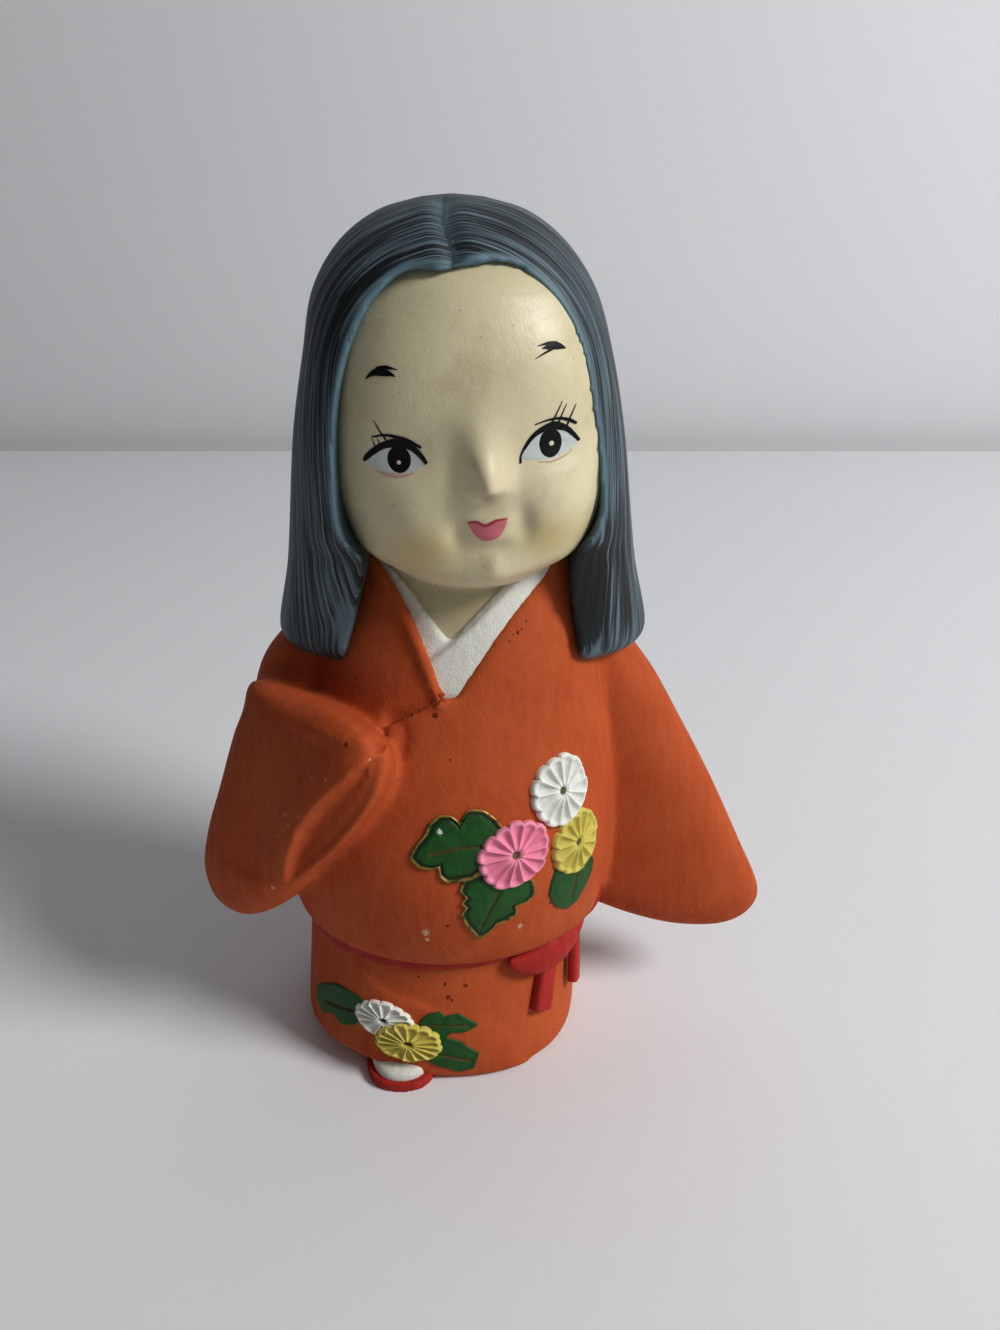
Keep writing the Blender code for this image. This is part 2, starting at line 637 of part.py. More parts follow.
def make_nose(tree, scratch):
    # Small drop whose tip stands out and whose bridge fades up into the brow
    spot, _ = front_point(tree, FACE_CENTRE_X + FACE_TURN_X, EYE_Z - NOSE_DROP)
    bm = bmesh.new()
    bmesh.ops.create_uvsphere(bm, u_segments=12, v_segments=8, radius=1.0)
    bmesh.ops.scale(bm, verts=bm.verts, vec=(NOSE_WIDTH / 2, NOSE_HEIGHT, NOSE_LENGTH / 2))
    lean = Matrix.Rotation(-NOSE_LEAN, 3, "X") @ Matrix.Rotation(-FACE_ROLL, 3, "Y")
    bmesh.ops.rotate(bm, verts=bm.verts, matrix=lean)
    bmesh.ops.translate(bm, verts=bm.verts, vec=spot + Vector((0, NOSE_SEAT, 0)))
    return object_from_bmesh("nose", bm, scratch)


def window_outline():
    # Right half from the widow's peak down to the lock ends, then mirrored
    top = WINDOW_TOP_Z
    wide = WINDOW_HALF_WIDTH
    half = [
        (0.0, top - WINDOW_PEAK),
        (wide * 0.24, top),
        (wide * 0.46, top - 1.6 * MM),
        (wide * 0.66, top - 5.6 * MM),
        (wide * 0.83, top - 11.8 * MM),
        (wide * 0.93, top - 19.5 * MM),
        (wide * 0.98, EYE_Z),
        (wide, CHEEK_Z),
        (wide * 0.97, LOCK_STEP_Z + 2.0 * MM),
        (LOCK_GAP_HALF_WIDTH, LOCK_STEP_Z - 1.5 * MM),
        (LOCK_GAP_HALF_WIDTH, CHIN_Z),
        (LOCK_GAP_HALF_WIDTH + 1.5 * MM, LOCK_END_Z + 5.0 * MM),
        (LOCK_GAP_HALF_WIDTH + 5.0 * MM, LOCK_END_Z - 3.0 * MM),
    ]
    half = flow_through(half, 2.5 * MM)
    right = [(WINDOW_CENTRE_X + x, z) for x, z in half]
    left = [(WINDOW_CENTRE_X - x, z) for x, z in reversed(half[1:])]
    return right + left


def make_hair(scratch):
    rings = hair_sections()
    pole = Vector((rings[-1][1], rings[-1][2], CROWN_Z))
    hair = loft("hair", rings, scratch, count=44, end_pole=pole)
    window = prism("window", window_outline(), WINDOW_REAR_Y, scratch)
    use_up(hair, window, "DIFFERENCE")
    return hair


def make_back_hair(scratch):
    # The long hair that lies down the back
    x = HAIR_CENTRE_X
    half = BACK_HAIR_HALF_WIDTH
    y = BODY_CENTRE_Y + 8.0 * MM
    deep = BACK_HAIR_DEPTH - 8.0 * MM
    rings = [
        section(BACK_HAIR_END_Z, x, y, half - 2.5 * MM, 6.0 * MM, deep - 3.0 * MM, 2.6),
        section(BACK_HAIR_END_Z + 2.5 * MM, x, y, half, 8.0 * MM, deep, 2.6),
        section(CHEST_Z, x, y, half + 1.5 * MM, 8.0 * MM, deep, 2.5),
        section(SHOULDER_Z + 4.0 * MM, x, y, half + 4.5 * MM, 8.0 * MM, deep - 0.5 * MM, 2.4),
        section(JAW_Z, x, y, half, 8.0 * MM, deep - 3.0 * MM, 2.3),
    ]
    return loft("back_hair", rings, scratch)


def make_bent_sleeve(scratch):
    elbow = Vector((BENT_ELBOW_X, BENT_ELBOW_Y))
    wrist = Vector((BENT_WRIST_X, BENT_WRIST_Y))
    corner = Vector((BENT_CORNER_X, BENT_CORNER_Y))
    mouth_end = Vector((BENT_MOUTH_END_X, BENT_MOUTH_END_Y))
    tall = BENT_TOP_Z - BENT_BOTTOM_Z

    def level(share, outer_share, inner_share, thick, trim, fill):
        outer = corner.lerp(elbow, outer_share)
        inner = mouth_end.lerp(wrist, inner_share)
        along = (inner - outer).normalized() * trim
        return strap_section(BENT_BOTTOM_Z + tall * share, inner - along, outer + along, thick,
                             BENT_FILL * fill)

    rings = [
        level(0.0, 0.0, -0.35, BENT_THICK * 0.25, 5.0 * MM, 0.4),
        level(0.05, 0.0, -0.25, BENT_THICK * 0.6, 1.5 * MM, 0.8),
        level(0.16, 0.0, 0.0, BENT_THICK * 0.8, 0.0, 1.0),
        level(0.32, 0.15, 0.30, BENT_THICK * 0.95, 0.0, 1.0),
        level(0.52, 0.45, 0.68, BENT_THICK, 0.0, 1.0),
        level(0.74, 0.78, 0.95, BENT_THICK, 0.0, 0.7),
        level(0.90, 0.97, 1.0, BENT_THICK * 0.85, 0.6 * MM, 0.2),
        level(0.97, 1.0, 0.97, BENT_THICK * 0.6, 2.0 * MM, 0.0),
        level(1.0, 1.0, 0.90, BENT_THICK * 0.2, 5.0 * MM, 0.0),
    ]
    return loft("bent_sleeve", rings, scratch, count=24, step=6.0 * MM)


def make_upper_arm(scratch):
    # The arm from the shoulder down to the elbow, behind the bent sleeve
    inner = Vector((UPPER_ARM_X + 10.0 * MM, UPPER_ARM_Y))
    shoulder = Vector((UPPER_ARM_X, UPPER_ARM_Y))
    elbow = Vector((BENT_ELBOW_X, UPPER_ARM_Y - 2.0 * MM))
    corner = Vector((BENT_CORNER_X + 3.0 * MM, UPPER_ARM_Y - 5.0 * MM))
    low = BENT_BOTTOM_Z + 2.0 * MM
    rings = [
        strap_section(low, inner, corner.lerp(inner, 0.3), UPPER_ARM_THICK * 0.25),
        strap_section(low + 2.0 * MM, inner, corner.lerp(inner, 0.08), UPPER_ARM_THICK * 0.6),
        strap_section(low + 9.0 * MM, inner, corner, UPPER_ARM_THICK * 0.85),
        strap_section(WAIST_Z, inner, corner.lerp(elbow, 0.6), UPPER_ARM_THICK),
        strap_section(BENT_TOP_Z - 6.0 * MM, inner, elbow, UPPER_ARM_THICK),
        strap_section(BENT_TOP_Z, inner, elbow.lerp(shoulder, 0.15), UPPER_ARM_THICK),
        strap_section(SHOULDER_Z + 1.0 * MM, inner, elbow.lerp(shoulder, 0.55),
                      UPPER_ARM_THICK * 0.9),
        strap_section(UPPER_ARM_TOP_Z - 2.0 * MM, inner, shoulder, UPPER_ARM_THICK * 0.6),
        strap_section(UPPER_ARM_TOP_Z, inner, shoulder.lerp(inner, 0.5), UPPER_ARM_THICK * 0.25),
    ]
    return loft("upper_arm", rings, scratch, count=24)


def make_mouth_hollow(scratch, tree):
    # Lens-shaped hollow of the sleeve's opening, along its inner front edge
    upper, _ = front_point(tree, BENT_WRIST_X - MOUTH_EDGE, BENT_TOP_Z - MOUTH_TOP_DROP)
    lower, _ = front_point(tree, BENT_MOUTH_END_X, BENT_BOTTOM_Z + MOUTH_END_RISE)
    bm = bmesh.new()
    bmesh.ops.create_uvsphere(bm, u_segments=16, v_segments=10, radius=1.0)
    length = (upper - lower).length / 2
    bmesh.ops.scale(bm, verts=bm.verts, vec=(MOUTH_HALF_WIDTH, MOUTH_DEPTH, length))
    turn = (upper - lower).to_track_quat("Z", "Y")
    bmesh.ops.rotate(bm, verts=bm.verts, matrix=turn.to_matrix())
    bmesh.ops.translate(bm, verts=bm.verts, vec=(upper + lower) / 2)
    return object_from_bmesh("mouth_hollow", bm, scratch)


def make_hanging_sleeve(scratch):
    inner = Vector((HANG_ARMPIT_X, BODY_CENTRE_Y + 3.0 * MM))
    shoulder = Vector((HANG_SHOULDER_X, HANG_Y + 1.5 * MM))
    corner = Vector((HANG_CORNER_X, HANG_Y))
    low = (HANG_BOTTOM_Z + HANG_CORNER_Z) / 2
    rise = SHOULDER_Z - HANG_CORNER_Z

    def level(share, reach_in):
        outer = corner.lerp(shoulder, share * 1.12)
        outer.x += HANG_SWELL * math.sin(math.pi * share)
        return strap_section(HANG_CORNER_Z + rise * share, inner - Vector((reach_in, 0)), outer,
                             HANG_THICK * (0.82 + 0.2 * share))

    rings = [
        strap_section(HANG_BOTTOM_Z, corner.lerp(inner, 0.42), corner.lerp(inner, 0.22),
                      HANG_THICK * 0.2),
        strap_section(HANG_BOTTOM_Z + 1.6 * MM, corner.lerp(inner, 0.58),
                      corner.lerp(inner, 0.10), HANG_THICK * 0.5),
        strap_section(low, corner.lerp(inner, 0.80), corner.lerp(inner, 0.02),
                      HANG_THICK * 0.7),
        level(0.0, 0.0),
        level(0.2, 3.0 * MM),
        level(0.45, 4.0 * MM),
        level(0.7, 6.0 * MM),
        level(0.88, 8.0 * MM),
        strap_section(HANG_TOP_Z - 2.0 * MM, inner - Vector((14.0 * MM, 0)),
                      inner + Vector((5.0 * MM, 0)), HANG_THICK * 0.7),
        strap_section(HANG_TOP_Z, inner - Vector((12.0 * MM, 0)), inner, HANG_THICK * 0.3),
    ]
    return loft("hanging_sleeve", rings, scratch, count=24)


def make_foot(scratch):
    # Sandal sole with the sock above it, toes forward under the hem
    y = FOOT_FRONT_Y + FOOT_LENGTH / 2
    sole_rings = [section(z, FOOT_X, y, FOOT_WIDTH / 2, FOOT_LENGTH / 2, FOOT_LENGTH / 2, 2.6)
                  for z in (0.0, SOLE_THICK)]
    sole = loft("sole", sole_rings, scratch, count=24, step=20 * MM)
    narrow = FOOT_WIDTH / 2 - 1.2 * MM
    reach = FOOT_LENGTH / 2 - 1.2 * MM
    sock_rings = [
        section(SOLE_THICK / 2, FOOT_X, y, narrow, reach, reach, 2.3),
        section(SOLE_THICK + 1.2 * MM, FOOT_X, y, narrow, reach, reach, 2.3),
        section(SOCK_HEIGHT, FOOT_X, y + 1.5 * MM, narrow * 0.6, reach * 0.7, reach * 0.7, 2.0),
    ]
    sock = loft("sock", sock_rings, scratch, count=24, step=20 * MM)
    use_up(sole, sock, "UNION")
    return sole


def relief(name, tree, place, stretch, outline, height, rings, scratch):
    # Low pad that follows the surface round its place (x, z); outline gives its radius at
    # an angle, stretch how tall it is for its width, and height how proud it stands at a
    # share of that radius
    spot, normal = front_point(tree, *place)
    side = Vector((0, 0, 1)).cross(normal).normalized()
    up = normal.cross(side)
    count = 3 * PETALS
    bm = bmesh.new()

    def surface(angle, share, lift):
        reach = outline(angle) * share
        start = (spot + side * (reach * math.cos(angle))
                 + up * (reach * stretch * math.sin(angle)))
        hit, _, _, _ = tree.ray_cast(start + normal * 10 * MM, -normal)
        return (hit if hit else start) + normal * lift

    top = [bm.verts.new(surface(0.0, 0.0, height(0.0, 0.0)))]
    bottom = [bm.verts.new(surface(0.0, 0.0, -RELIEF_SINK))]
    loops = []
    for level in range(1, rings + 1):
        share = level / rings
        loops.append([bm.verts.new(surface(2 * math.pi * k / count, share,
                                           height(2 * math.pi * k / count, share)))
                      for k in range(count)])
    edge = [bm.verts.new(surface(2 * math.pi * k / count, 1.0, -RELIEF_SINK))
            for k in range(count)]
    for k in range(count):
        after = (k + 1) % count
        bm.faces.new((top[0], loops[0][k], loops[0][after]))
        for lower, upper in zip(loops, loops[1:]):
            bm.faces.new((lower[k], upper[k], upper[after], lower[after]))
        bm.faces.new((loops[-1][k], edge[k], edge[after], loops[-1][after]))
        bm.faces.new((edge[k], bottom[0], edge[after]))
    return object_from_bmesh(name, bm, scratch)


def flower(name, tree, place, stretch, scratch):
    def outline(angle):
        return FLOWER_RADIUS * (1.0 + 0.05 * math.cos(PETALS * angle))

    def height(angle, share):
        if share < 0.01:
            return FLOWER_PROUD * 0.7
        return FLOWER_PROUD * (0.82 + 0.28 * share * math.cos(PETALS * angle))

    return relief(name, tree, place, stretch, outline, height, 2, scratch)


def leaf(name, tree, place, lean, scale, scratch):
    # Five-lobed leaf: a long oval whose edge swells out at each lobe
    def outline(angle):
        turned = angle - lean
        oval = scale / math.hypot(2 * math.cos(turned) / LEAF_LENGTH,
                                  2 * math.sin(turned) / LEAF_WIDTH)
        return oval * (1.0 + LEAF_LOBE * math.cos(5 * turned))

    def height(angle, share):
        return LEAF_PROUD * (1.0 - 0.35 * share)

    return relief(name, tree, place, 1.0, outline, height, 1, scratch)


def groove(name, spots, radius, scratch):
    # Cutter of a round-bottomed groove along points and normals of the surface
    bm = bmesh.new()
    sides = 6
    loops = []
    for index, (spot, normal) in enumerate(spots):
        before = spots[max(index - 1, 0)][0]
        after = spots[min(index + 1, len(spots) - 1)][0]
        along = (after - before).normalized()
        side = along.cross(normal).normalized()
        out = side.cross(along)
        loops.append([bm.verts.new(spot + radius * (
            side * math.cos(2 * math.pi * k / sides) + out * math.sin(2 * math.pi * k / sides)))
            for k in range(sides)])
    for lower, upper in zip(loops, loops[1:]):
        for k in range(sides):
            bm.faces.new((lower[k], lower[(k + 1) % sides], upper[(k + 1) % sides], upper[k]))
    bm.faces.new(loops[0])
    bm.faces.new(list(reversed(loops[-1])))
    return object_from_bmesh(name, bm, scratch)


def hanging_tail(name, tree, x, end_z, scratch):
    # One end of the sash, a flat strip lying on the skirt
    spot, normal = front_point(tree, x, (end_z + BULGE_LIP_Z) / 2)
    tall = BULGE_LIP_Z - end_z
    bm = bmesh.new()
    bmesh.ops.create_cube(bm, size=1.0)
    bmesh.ops.scale(bm, verts=bm.verts, vec=(TAIL_WIDTH, TAIL_THICK * 2, tall))
    for vert in bm.verts:
        if vert.co.z < 0:
            vert.co.x *= 1.15
    bmesh.ops.bevel(bm, geom=bm.edges[:], offset=0.5 * MM, segments=1, affect="EDGES")
    turn = Vector((normal.x, normal.y, 0)).to_track_quat("-Y", "Z")
    bmesh.ops.rotate(bm, verts=bm.verts, matrix=turn.to_matrix())
    bmesh.ops.translate(bm, verts=bm.verts, vec=spot)
    return object_from_bmesh(name, bm, scratch)


def make_bow(tree, scratch):
    # One plump loop that shows under the kimono top
    spot, normal = front_point(tree, BOW_X, BOW_Z)
    bm = bmesh.new()
    bmesh.ops.create_uvsphere(bm, u_segments=16, v_segments=8, radius=0.5)
    bmesh.ops.scale(bm, verts=bm.verts, vec=(BOW_LENGTH, BOW_THICK * 2, BOW_HEIGHT))
    bmesh.ops.rotate(bm, verts=bm.verts, matrix=Matrix.Rotation(-BOW_TILT, 3, "Y"))
    turn = Vector((normal.x, normal.y, 0)).to_track_quat("-Y", "Z")
    bmesh.ops.rotate(bm, verts=bm.verts, matrix=turn.to_matrix())
    bmesh.ops.translate(bm, verts=bm.verts, vec=spot)
    return object_from_bmesh("bow", bm, scratch)


def make_hollow(scratch):
    # The slip-cast inside: the body's own sections set in by the wall, with the vent below
    x = SKIRT_CENTRE_X
    y = BODY_CENTRE_Y
    body = [inset(ring, WALL + HOLLOW_MARGIN) for ring in kimono_sections()[3:6]]
    head_half = FACE_HALF_WIDTH - WALL
    rings = [
        section(-CUT_PAST, x, VENT_Y, VENT_RADIUS, VENT_RADIUS, VENT_RADIUS),
        section(BASE_THICK * 0.8, x, VENT_Y, VENT_RADIUS, VENT_RADIUS, VENT_RADIUS),
        section(BASE_THICK * 1.6, x, y, HEM_HALF_WIDTH - WALL * 1.6, HEM_FRONT - WALL * 1.6,
                HEM_BACK - WALL * 1.6),
        section(SASH_BOTTOM_Z, x, y, SKIRT_TOP_HALF_WIDTH - WALL, SKIRT_TOP_FRONT - WALL,
                SKIRT_TOP_BACK - WALL),
        *body,
        section(SHOULDER_Z + 6 * MM, HAIR_CENTRE_X, HAIR_CENTRE_Y, head_half * 0.95,
                HOLLOW_NECK_FRONT, HAIR_BACK - WALL * 1.6),
        section(JAW_Z, FACE_CENTRE_X, HAIR_CENTRE_Y, head_half * 0.9, HOLLOW_JAW_FRONT,
                HAIR_BACK - WALL * 1.3),
        section(EYE_Z, FACE_CENTRE_X, HAIR_CENTRE_Y, head_half, FACE_FRONT - WALL - 2 * MM,
                HAIR_BACK - WALL * 1.3),
        section(BROW_Z, FACE_CENTRE_X, HAIR_CENTRE_Y, head_half * 0.9,
                FACE_FRONT * 0.9 - WALL, HAIR_BACK * 0.85 - WALL),
        section(CROWN_Z - WALL * 2.2, HAIR_CENTRE_X, HAIR_CENTRE_Y, head_half * 0.4,
                8.0 * MM, 8.0 * MM),
        section(CROWN_Z - WALL * 1.7, HAIR_CENTRE_X, HAIR_CENTRE_Y, head_half * 0.12,
                2.5 * MM, 2.5 * MM),
    ]
    return loft("hollow", rings, scratch, count=24, step=14 * MM)


# Assembly of the one cast piece

def make_body(scratch):
    kimono = make_kimono(scratch)
    for form in (make_skirt(scratch), make_panel(scratch), make_sash(scratch),
                 make_under_collar(scratch), make_neck(scratch), make_hanging_sleeve(scratch),
                 make_upper_arm(scratch)):
        use_up(kimono, form, "UNION")
    use_up(kimono, make_hem_lift(scratch), "DIFFERENCE")
    tree = surface_tree(kimono)
    crease = [front_point(tree, NECK_V_X + (OVERLAP_END_X - NECK_V_X) * share,
                          NECK_V_Z + (OVERLAP_END_Z - NECK_V_Z) * share)
              for share in (-0.03, 0.35, 0.7, 1.1)]
    use_up(kimono, groove("overlap", crease, GROOVE_RADIUS, scratch), "DIFFERENCE")
    sleeve = make_bent_sleeve(scratch)
    mouth = make_mouth_hollow(scratch, surface_tree(sleeve))
    use_up(sleeve, mouth, "DIFFERENCE")
    use_up(kimono, sleeve, "UNION")
    return kimono


def make_head_and_hair(scratch):
    hair = make_hair(scratch)
    use_up(hair, make_back_hair(scratch), "UNION")
    tree = surface_tree(hair)
    parting = []
    for degrees in range(40, 101, 15):
        out = Vector((0, -math.cos(math.radians(degrees)), math.sin(math.radians(degrees))))
        start = Vector((PARTING_X, HAIR_CENTRE_Y, BROW_Z)) + out * CROWN_Z
        spot, normal, _, _ = tree.ray_cast(start, -out)
        parting.append((spot, normal))
    use_up(hair, groove("parting", parting, PARTING_RADIUS, scratch), "DIFFERENCE")
    use_up(hair, make_head(scratch), "UNION")
    return hair


def add_flowers(figure, scratch):
    tree = surface_tree(figure)
    leaves = [
        ("left_leaf", LEFT_LEAF, math.radians(176), 1.0),
        ("low_leaf", LOW_LEAF, math.radians(252), 0.9),
        ("side_leaf", SIDE_LEAF, math.radians(262), 0.85),
        ("hem_left_leaf", HEM_LEFT_LEAF, math.radians(165), HEM_LEAF_SIZE),
        ("hem_high_leaf", HEM_HIGH_LEAF, math.radians(8), HEM_LEAF_SIZE),
        ("hem_low_leaf", HEM_LOW_LEAF, math.radians(-22), HEM_LEAF_SIZE),
    ]
    for name, place, lean, scale in leaves:
        use_up(figure, leaf(name, tree, place, lean, scale, scratch), "UNION")
    flowers = [
        ("yellow_flower", YELLOW_FLOWER, 1.0),
        ("white_flower", WHITE_FLOWER, WHITE_FLOWER_STRETCH),
        ("pink_flower", PINK_FLOWER, 1.0),
        ("hem_white_flower", HEM_WHITE_FLOWER, HEM_FLOWER_STRETCH),
        ("hem_yellow_flower", HEM_YELLOW_FLOWER, HEM_FLOWER_STRETCH),
    ]
    for name, place, stretch in flowers:
        use_up(figure, flower(name, tree, place, stretch, scratch), "UNION")


def main():
    start_clean()
    figure_collection = make_collection("geisha_figurine")
    scratch = make_collection("cutters")

    skirt = make_skirt(scratch)
    skirt_tree = surface_tree(skirt)
    bpy.data.objects.remove(skirt, do_unlink=True)

    figure = make_body(scratch)
    use_up(figure, make_head_and_hair(scratch), "UNION")
    use_up(figure, make_foot(scratch), "UNION")
    use_up(figure, make_bow(skirt_tree, scratch), "UNION")
    for name, x, end_z in (("tail_one", TAIL_ONE_X, TAIL_ONE_END_Z),
                           ("tail_two", TAIL_TWO_X, TAIL_TWO_END_Z)):
        use_up(figure, hanging_tail(name, skirt_tree, x, end_z, scratch), "UNION")
    add_flowers(figure, scratch)
    use_up(figure, make_hollow(scratch), "DIFFERENCE")

    figure.name = "figurine"
    figure.data.name = "figurine"
    scratch.objects.unlink(figure)
    figure_collection.objects.link(figure)
    figure.data.materials.clear()
    figure.data.materials.append(clay_material("painted_clay", (0.58, 0.14, 0.05), 0.7))
    figure.data.shade_smooth()
    figure.data.set_sharp_from_angle(angle=math.radians(40))


main()
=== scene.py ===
import math

import bmesh
import bpy
import numpy as np
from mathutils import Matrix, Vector
from mathutils.bvhtree import BVHTree
from mathutils.geometry import delaunay_2d_cdt


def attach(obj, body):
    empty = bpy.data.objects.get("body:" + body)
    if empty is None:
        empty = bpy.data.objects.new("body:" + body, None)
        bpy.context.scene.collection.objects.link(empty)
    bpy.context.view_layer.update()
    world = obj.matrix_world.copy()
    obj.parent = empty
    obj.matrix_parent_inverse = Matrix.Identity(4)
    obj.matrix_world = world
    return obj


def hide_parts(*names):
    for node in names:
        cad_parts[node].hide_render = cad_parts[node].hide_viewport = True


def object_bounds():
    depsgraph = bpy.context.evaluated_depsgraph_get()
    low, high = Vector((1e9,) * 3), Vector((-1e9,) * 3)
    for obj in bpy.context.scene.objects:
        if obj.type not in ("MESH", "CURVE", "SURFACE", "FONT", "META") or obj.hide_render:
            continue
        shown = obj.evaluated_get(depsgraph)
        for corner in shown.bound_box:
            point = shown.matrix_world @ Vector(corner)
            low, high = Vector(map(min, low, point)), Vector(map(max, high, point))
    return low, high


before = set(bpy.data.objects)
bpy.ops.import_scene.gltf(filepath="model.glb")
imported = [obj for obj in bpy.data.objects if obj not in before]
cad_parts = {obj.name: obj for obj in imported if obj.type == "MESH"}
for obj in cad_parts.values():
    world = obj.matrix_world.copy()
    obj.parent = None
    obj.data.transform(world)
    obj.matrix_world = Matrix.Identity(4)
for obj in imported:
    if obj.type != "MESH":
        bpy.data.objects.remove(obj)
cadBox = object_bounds()
mm = 0.001  # every length below is in millimetres, x to the viewer's right, y away, z up


def section(z, x, y, halfWidth, front, back, square=2.0, turn=0.0):
    return (z, x, y, halfWidth, front, back, square, turn)


def strap(z, inner, outer, thick, square=2.2):  # flat oval between two points seen from above
    spanX, spanY = outer[0] - inner[0], outer[1] - inner[1]
    return section(z, (inner[0] + outer[0]) / 2, (inner[1] + outer[1]) / 2,
                   math.hypot(spanX, spanY) / 2, thick / 2, thick / 2, square,
                   math.atan(spanY / spanX))


def flowThrough(rows, step):  # centripetal Catmull-Rom chain through sections or points
    rows = np.array(rows, float)
    reach = min(rows.shape[1], 6)
    gaps = np.linalg.norm(np.diff(rows[:, :reach], axis=0), axis=1)
    knots = np.concatenate(([0.0], np.cumsum(np.sqrt(gaps))))
    slopes = []
    for i in range(len(rows)):
        low, high = max(i - 1, 0), min(i + 1, len(rows) - 1)
        slope = (rows[high] - rows[low]) / (knots[high] - knots[low])
        if low < i < high:
            before = (rows[i] - rows[low]) / (knots[i] - knots[low])
            after = (rows[high] - rows[i]) / (knots[high] - knots[i])
            slope = before + after - slope
        slopes.append(slope)
    chain = []
    for i in range(len(rows) - 1):
        width = knots[i + 1] - knots[i]
        for t in np.linspace(0, 1, max(1, round(gaps[i] / step)), endpoint=False):
            chain.append((2 * t ** 3 - 3 * t ** 2 + 1) * rows[i]
                         + (t ** 3 - 2 * t ** 2 + t) * width * slopes[i]
                         + (3 * t ** 2 - 2 * t ** 3) * rows[i + 1]
                         + (t ** 3 - t ** 2) * width * slopes[i + 1])
    chain.append(rows[-1])
    return np.array(chain)


def addObject(name, data):
    obj = bpy.data.objects.new(name, data)
    bpy.context.scene.collection.objects.link(obj)
    return obj


def newObject(name, bm, turnOut=True):
    if turnOut:
        bmesh.ops.recalc_face_normals(bm, faces=bm.faces)
    mesh = bpy.data.meshes.new(name)
    bm.to_mesh(mesh)
    bm.free()
    return addObject(name, mesh)


def bridge(bm, lower, upper, inward=False):  # a band of faces between two loops
    for i in range(len(lower)):
        j = (i + 1) % len(lower)
        band = (lower[i], lower[j], upper[j], upper[i])
        bm.faces.new((band[0], *band[:0:-1]) if inward else band)


def loft(name, rings, count=72, step=2.5, pole=None):
    bm = bmesh.new()
    angles = np.arange(count) * 2 * math.pi / count
    cosines, sines = np.cos(angles), np.sin(angles)
    loops = []
    for z, x, y, halfWidth, front, back, square, turn in flowThrough(rings, step):
        across = np.sign(cosines) * np.abs(cosines) ** (2 / square) * halfWidth
        along = np.sign(sines) * np.abs(sines) ** (2 / square) * np.where(sines > 0, back, front)
        px = x + across * math.cos(turn) - along * math.sin(turn)
        py = y + across * math.sin(turn) + along * math.cos(turn)
        loops.append([bm.verts.new((a * mm, b * mm, z * mm)) for a, b in zip(px, py)])
    for lower, upper in zip(loops, loops[1:]):
        bridge(bm, lower, upper)
    for loop, tip in ((loops[0], None), (loops[-1], pole)):
        middle = Vector(tip) * mm if tip else sum((v.co for v in loop), Vector()) / count
        centre = bm.verts.new(middle)
        for i in range(count):
            bm.faces.new((loop[i], loop[(i + 1) % count], centre))
    return newObject(name, bm)


def prism(name, outline, farY, nearY=-100):  # straight block behind a front-view outline
    bm = bmesh.new()
    near, far = [[bm.verts.new((x * mm, y * mm, z * mm)) for x, z in outline] for y in (nearY, farY)]
    bm.faces.new(near)
    bm.faces.new(far[::-1])
    bridge(bm, near, far, inward=True)
    return newObject(name, bm)


def tube(name, path, radii, flat, facing, sides=14, square=2.0):
    # rope through 3-D points; flat squeezes it along facing, which lists one normal a point
    turns = np.arange(sides) * 2 * math.pi / sides
    wide = np.sign(np.cos(turns)) * np.abs(np.cos(turns)) ** (2 / square)
    high = np.sign(np.sin(turns)) * np.abs(np.sin(turns)) ** (2 / square) * flat
    bm = bmesh.new()
    loops = []
    path = [Vector(p) for p in path]
    for i, point in enumerate(path):
        along = (path[min(i + 1, len(path) - 1)] - path[max(i - 1, 0)]).normalized()
        side = along.cross(Vector(facing[i])).normalized()
        out = side.cross(along)
        loops.append([bm.verts.new((point + radii[i] * (side * float(a) + out * float(b))) * mm)
                      for a, b in zip(wide, high)])
    for lower, upper in zip(loops, loops[1:]):
        bridge(bm, lower, upper)
    bm.faces.new(loops[0])
    bm.faces.new(loops[-1][::-1])
    return newObject(name, bm)


def applied(obj):  # bakes the modifiers into the mesh
    graph = bpy.context.evaluated_depsgraph_get()
    graph.update()
    mesh = bpy.data.meshes.new_from_object(obj.evaluated_get(graph))
    obj.modifiers.clear()
    old, obj.data = obj.data, mesh
    bpy.data.meshes.remove(old)
    mesh.name = obj.name
    return obj


def combine(obj, other, operation):
    for part in (obj, other):
        bm = bmesh.new()
        bm.from_mesh(part.data)
        bmesh.ops.triangulate(bm, faces=bm.faces)
        bm.to_mesh(part.data)
        bm.free()
    cut = obj.modifiers.new("combine", "BOOLEAN")
    cut.operation, cut.solver, cut.object = operation, "MANIFOLD", other
    applied(obj)
    bpy.data.objects.remove(other)
    return obj


def soften(obj, voxel, rounds):  # one skin over all the forms, rubbed smooth
    skin = obj.modifiers.new("skin", "REMESH")
    skin.mode, skin.voxel_size = "VOXEL", voxel * mm
    rub = obj.modifiers.new("rub", "SMOOTH")
    rub.iterations, rub.factor = rounds, 0.5
    applied(obj)
    obj.data.shade_smooth()
    return obj


def rubWithin(obj, weigh, rounds):  # smooths as much as weigh says at each x, y, z
    weights = weigh(*coordsOf(obj).T)
    group = obj.vertex_groups.new(name="rub")
    for k in np.flatnonzero(weights > 0.02):
        group.add([int(k)], float(weights[k]), "REPLACE")
    rub = obj.modifiers.new("rub", "SMOOTH")
    rub.iterations, rub.factor, rub.vertex_group = rounds, 0.5, "rub"
    applied(obj)
    obj.vertex_groups.clear()


